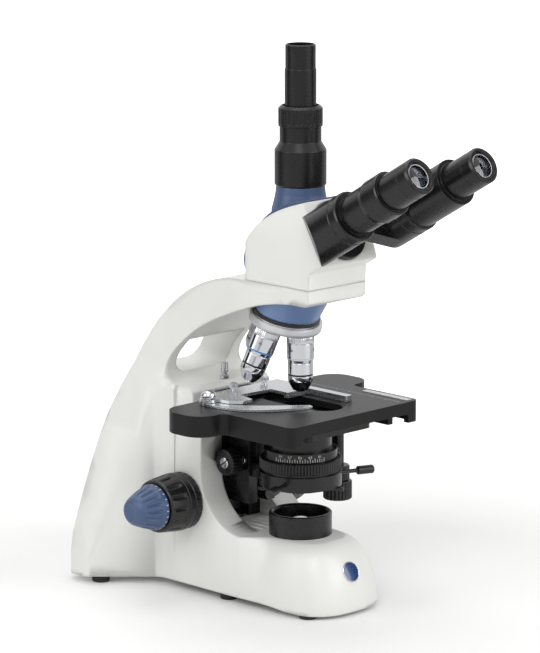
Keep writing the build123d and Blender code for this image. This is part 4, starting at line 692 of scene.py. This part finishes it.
cover = nodeCopy("bottom_cover", "bottomCover")
shaped(cover, "INTERSECT", toeSolid(toe["hollow"][:3], toe["wall"] + 0.3, 110, True))
finishCopy(cover, "blackMetal", "stand", ["bottom_cover"])
bm = bmesh.new()
for side in (-1, 1):
    for x, y, top in stand["feet"]:
        foot = bmesh.ops.create_cone(bm, cap_ends=True, segments=48, radius1=stand["footRadii"][0],
                                     radius2=stand["footRadii"][1], depth=top * mm,
                                     matrix=Matrix.Translation((side * x * mm, y * mm, top * mm / 2)))
        rim = {e for v in foot["verts"] for e in v.link_edges if all(w.co.z < 1e-5 for w in e.verts)}
        bmesh.ops.bevel(bm, geom=list(rim), offset=0.0008, segments=3, affect="EDGES", profile=0.5)
keep("rubberFeet", bm, atRest, ["blackRubber"], "stand", ["rubber_feet"])
print("stand shaped")

# Lamp collector: the dome of its lens and the skirt under the ring

collector = {
    "skirt": [(22.5, 49.5), (24.3, 49.5), (24.3, 54.9), (22.5, 54.9)],
    "holder": [(12.2, 60.5), (14.6, 60.5), (14.6, 61.6), (10.6, 64.4), (9.2, 64.4), (9.2, 61.5)],
    "dome": [(9.1, 62.5), (9.1, 64.2), (8.2, 65.2), (6.6, 66.2), (4.6, 67.0), (2.4, 67.45), (0.6, 67.6)],
}
turned("collectorSkirt", collector["skirt"], atRest, ["blackMetal"], "stand", closed=True)
turned("collectorHolder", collector["holder"], atRest, ["blackMetal"], "stand", closed=True)
turned("collectorDome", collector["dome"], atRest, ["whiteGlass"], "stand", steps=64)

# Focus knobs: long flutes with round ends, a blue cone with marks round its foot

knobs = {
    "axis": (0, 0.085, 0.0735),
    "fine": [(4.0, 76.0), (17.6, 76.0), (18.1, 76.6), (18.0, 79.4), (17.3, 81.2), (17.1, 81.6, 0, 0.5),
             (16.8, 82.3, 0, 1.2), (16.2, 84.3, 0, 1.5), (15.0, 88.0, 0, 1.6), (13.7, 91.6, 0, 1.4),
             (13.0, 93.2, 0, 0.9), (12.6, 94.2, 0, 0.3), (12.2, 95.0), (11.2, 97.2), (9.8, 99.2),
             (8.4, 100.3), (7.2, 100.7), (6.2, 100.5), (4.2, 99.9), (1.2, 99.6)],
    "fineFlutes": (16, 3),
    "markRadius": 18.05,
    "marks": [(step * 15, 76.9, 78.9) for step in range(24)],
    "coarse": [(8.0, 51.8), (22.4, 51.8), (22.95, 52.4), (22.9, 56.8), (22.4, 57.2), (22.4, 57.8),
               (22.8, 58.2), (22.6, 60.2), (22.5, 60.8, 0, 0.5), (22.4, 61.8, 0, 1.3), (22.1, 64.5, 0, 1.6),
               (21.6, 69.5, 0, 1.6), (21.3, 71.6, 0, 1.2), (21.1, 72.6, 0, 0.4), (21.0, 73.2), (20.6, 74.8),
               (19.9, 75.5), (18.4, 75.6), (18.2, 74.6), (8.0, 74.6)],
    "coarseFlutes": (14, 5),
}
for side, sideName in ((-1, "Left"), (1, "Right")):
    face = axisFrame(knobs["axis"], (side, 0, 0), (0, 1, 0))
    turned("fineKnob" + sideName, knobs["fine"], face, ["bluePlastic"], "fine_drive",
           replaced=["fine_knob_" + sideName.lower()], steps=384, flutes=knobs["fineFlutes"])
    ringTicks("fineKnob" + sideName + "Marks", face, knobs["markRadius"], knobs["marks"], "paintWhite",
              "fine_drive", width=0.7)
    turned("coarseKnob" + sideName, knobs["coarse"], face, ["blackPlastic"], "coarse_drive",
           replaced=["coarse_knob_" + sideName.lower()], steps=384, flutes=knobs["coarseFlutes"], closed=True)
print("knobs made")

# Specimen holder: thumb screws and the screw in the finger's hub, on top of the bridge

holder = {
    "thumbScrews": (("thumbScrewLeft", -0.024, 0.049), ("thumbScrewRight", 0.009, 0.049)),
    "thumbScrew": [(1.9, -0.3), (1.9, 1.6), (3.1, 1.8), (3.3, 2.3, 0, 0.5), (3.3, 5.6, 0, 0.5), (3.0, 6.1),
                   (2.2, 6.4), (0.9, 6.5)],
    "hub": (-0.057, 0.043),
    "hubScrew": [(2.6, -0.3), (2.6, 0.8), (5.6, 1.0), (5.9, 1.8), (5.9, 3.0), (5.4, 4.4), (4.2, 5.6),
                 (2.4, 6.4), (0.7, 6.7)],
}
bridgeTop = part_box("specimen_bridge")[1].z
for name, x, y in holder["thumbScrews"]:
    turned(name, holder["thumbScrew"], Matrix.Translation((x, y, bridgeTop)), ["chrome"], "x_carriage",
           steps=144, flutes=(24, 1))
turned("hubScrew", holder["hubScrew"], Matrix.Translation((*holder["hub"], bridgeTop)), ["chrome"],
       "x_carriage")

# Stage: scale marks on its plate and along the right edge

stageMarks = {"plate": 24, "plateStep": 2.0, "edge": 37, "edgeStart": -54.0, "edgeStep": 2.6, "edgeX": 54.0}
bm = bmesh.new()
plateLow, plateHigh = (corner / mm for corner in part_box("stage_scale"))
for index in range(stageMarks["plate"]):
    y = plateLow.y + 1.0 + index * stageMarks["plateStep"]
    left = plateLow.x + 0.5
    right = left + (3.6 if index % 5 == 0 else 2.2)
    block(bm, (left, y - 0.12, plateHigh.z - 0.1), (right, y + 0.12, plateHigh.z + 0.04))
keep("stageScaleMarks", bm, atRest, ["deepBlack"], "stage")
bm = bmesh.new()
for index in range(stageMarks["edge"]):
    y = stageMarks["edgeStart"] + index * stageMarks["edgeStep"]
    left = stageMarks["edgeX"] - (3.0 if index % 5 == 0 else 1.7)
    block(bm, (left, y - 0.13, 158.5), (stageMarks["edgeX"], y + 0.13, 158.74))
keep("stageEdgeMarks", bm, atRest, ["paintWhite"], "stage")

# Eyepieces: pale inner rings in the black rims, fine grooves and the marks of the diopter ring

eyepieces = {
    "offset": 0.0351,
    "swing": math.radians(10.7),
    "start": (-0.040, 0.2977),
    "top": 130.3,
    "grooves": (12.0, 11.0, 10.0),
    "markRadius": 17.42,
}
for side, body, name in ((-1, "eyepiece_left", "eyepieceLeft"), (1, "eyepiece_right", "eyepieceRight")):
    tubeX = side * eyepieces["offset"] * math.cos(eyepieces["swing"])
    drop = eyepieces["offset"] * math.sin(eyepieces["swing"])
    origin = Vector((tubeX, *eyepieces["start"])) - Vector((0, math.sin(pitch), math.cos(pitch))) * drop
    eyeFrame = axisFrame(origin, tubeOut, (1, 0, 0))
    top = eyepieces["top"]
    ring = [(8.9, top - 2.4), (9.45, top - 2.4), (9.45, top - 1.9), (8.9, top - 1.9)]
    turned(name + "InnerRing", ring, eyeFrame, ["scaleSilver"], body, closed=True)
    for index, down in enumerate(eyepieces["grooves"]):
        height = top - down
        bead = [(14.0, height), (14.24, height + 0.1), (14.24, height + 0.5), (14.0, height + 0.6)]
        turned(name + "Groove" + str(index), bead, eyeFrame, ["blackMetal"], body, closed=True)
    if side < 0:
        marks = [(step * 9 - 10, 88.0, 91.2 if step % 5 else 92.6) for step in range(-8, 9)]
        ringTicks("diopterMarks", eyeFrame, eyepieces["markRadius"], marks, "paintWhite", "diopter_ring",
                  width=0.4)
print("small pieces made")

# Plain disc on the front of the base, where the photograph has a badge

badge = {
    "pixel": (350.7, 571.7),
    "rim": [(7.4, -1.0), (8.1, -1.0), (8.1, 0.35), (7.8, 0.6), (7.4, 0.45)],
    "disc": [(7.4, -1.0), (7.4, 0.3), (5.2, 0.55), (2.6, 0.7), (0.6, 0.72)],
}
place, normal = pixelHit(casting, *badge["pixel"])
if place is not None:
    badgeFrame = axisFrame(place, normal, (0, 0, 1))
    turned("baseDiscRim", badge["rim"], badgeFrame, ["chrome"], "stand", closed=True)
    turned("baseDisc", badge["disc"], badgeFrame, ["discBlue"], "stand", steps=64)

# Screws that show: the slide's left flank and the focus housing

screws = {
    "slideScrew": {"node": "focus_slide", "body": "focus_slide", "pixel": (243.0, 459.8), "radius": 3.0,
                   "finish": "chrome", "slot": "chrome"},
    "housingScrew": {"node": "focus_housing", "body": "stand", "pixel": (234.4, 514.0), "radius": 2.2,
                     "finish": "blackMetal", "slot": "black_metal"},
}
for name, values in screws.items():
    place, normal = pixelHit(nodes[values["node"]], *values["pixel"])
    if place is not None:
        slottedScrew(name, axisFrame(place, normal, (0.1, 0.2, 1)), values["radius"], 1.2, values["body"],
                     values["finish"])
print("screws and disc placed")

# Floor, world and lamps

floorValues = {
    "size": 24.0,
    "colour": "#F7F7F6",
    # The floor glows to white away from the object, as the camera sees it, and keeps the shadow near it
    "glow": {"From Min": 0.25, "From Max": 1.4, "To Min": 0.05, "To Max": 1.0},
}
floorMesh = bpy.data.meshes.new("floor")
half = floorValues["size"] / 2
corners = [(-half, -half, 0), (half, -half, 0), (half, half, 0), (-half, half, 0)]
floorMesh.from_pydata(corners, [], [(0, 1, 2, 3)])
floor = bpy.data.objects.new("floor", floorMesh)
scene.collection.objects.link(floor)
floorPaint = bpy.data.materials.new("floorPaint")
floorPaint.use_nodes = True
tree = floorPaint.node_tree
floorShader = tree.nodes["Principled BSDF"]
floorShader.inputs["Base Color"].default_value = colour(floorValues["colour"])
floorShader.inputs["Roughness"].default_value = 0.6
floorPath = addNode(tree, "ShaderNodeLightPath")
floorShader.inputs["Emission Color"].default_value = (1, 1, 1, 1)
away = addNode(tree, "ShaderNodeVectorMath", operation="LENGTH")
tree.links.new(addNode(tree, "ShaderNodeTexCoord").outputs["Object"], away.inputs[0])
glow = addNode(tree, "ShaderNodeMapRange")
for socket, value in floorValues["glow"].items():
    glow.inputs[socket].default_value = value
tree.links.new(away.outputs["Value"], glow.inputs["Value"])
seenGlow = mathNode(tree, "MULTIPLY", floorPath.outputs["Is Camera Ray"], glow.outputs[0])
tree.links.new(seenGlow, floorShader.inputs["Emission Strength"])
floorMesh.materials.append(floorPaint)

# Dark cards beside the camera's view, which only chrome and gloss see

cards = {"cardRight": (0.92, -0.72), "cardLeft": (-0.72, 0.95)}
cardPaint = finish("cardPaint", "#050505", "#040404", "#060606", rough=(0.8, 0.9))
for name, (x, y) in cards.items():
    bm = bmesh.new()
    block(bm, (-250, -4, 50), (250, 4, 1150), axisFrame((x, y, 0), (0, 0, 1), (-y, x, 0)))
    card = meshObject(name, bm)
    card.data.materials.append(cardPaint)
    card.visible_camera = False

world = bpy.data.worlds.new("studio")
scene.world = world
world.use_nodes = True
tree = world.node_tree
background = tree.nodes["Background"]
lightPath = addNode(tree, "ShaderNodeLightPath")
seen = lightPath.outputs["Is Camera Ray"]
for kind in ("Is Transmission Ray", "Is Glossy Ray"):
    seen = mathNode(tree, "ADD", seen, lightPath.outputs[kind], clamp=True)
level = addNode(tree, "ShaderNodeMapRange")
level.inputs["To Min"].default_value = 0.42
level.inputs["To Max"].default_value = 1.0
tree.links.new(seen, level.inputs["Value"])
tree.links.new(level.outputs[0], background.inputs["Strength"])
background.inputs["Color"].default_value = (1, 1, 1, 1)

lamps = {
    "key": {"place": (-1.3, -0.9, 1.6), "size": 1.0, "power": 13},
    "front": {"place": (0.7, -1.7, 1.0), "size": 1.2, "power": 16},
    "left": {"place": (-1.6, 0.6, 0.9), "size": 0.9, "power": 7},
    "top": {"place": (0.2, 0.3, 2.0), "size": 1.4, "power": 12},
}
target = Vector((0, 0.02, 0.2))
for name, values in lamps.items():
    data = bpy.data.lights.new(name, "AREA")
    data.energy = values["power"]
    data.size = values["size"]
    lamp = bpy.data.objects.new(name, data)
    scene.collection.objects.link(lamp)
    place = Vector(values["place"])
    turn = (place - target).to_track_quat("Z", "Y").to_matrix().to_4x4()
    lamp.matrix_world = Matrix.Translation(place) @ turn
print("stage and lamps set")

for thing in nodes.values():
    for face in thing.data.polygons:
        face.use_smooth = True
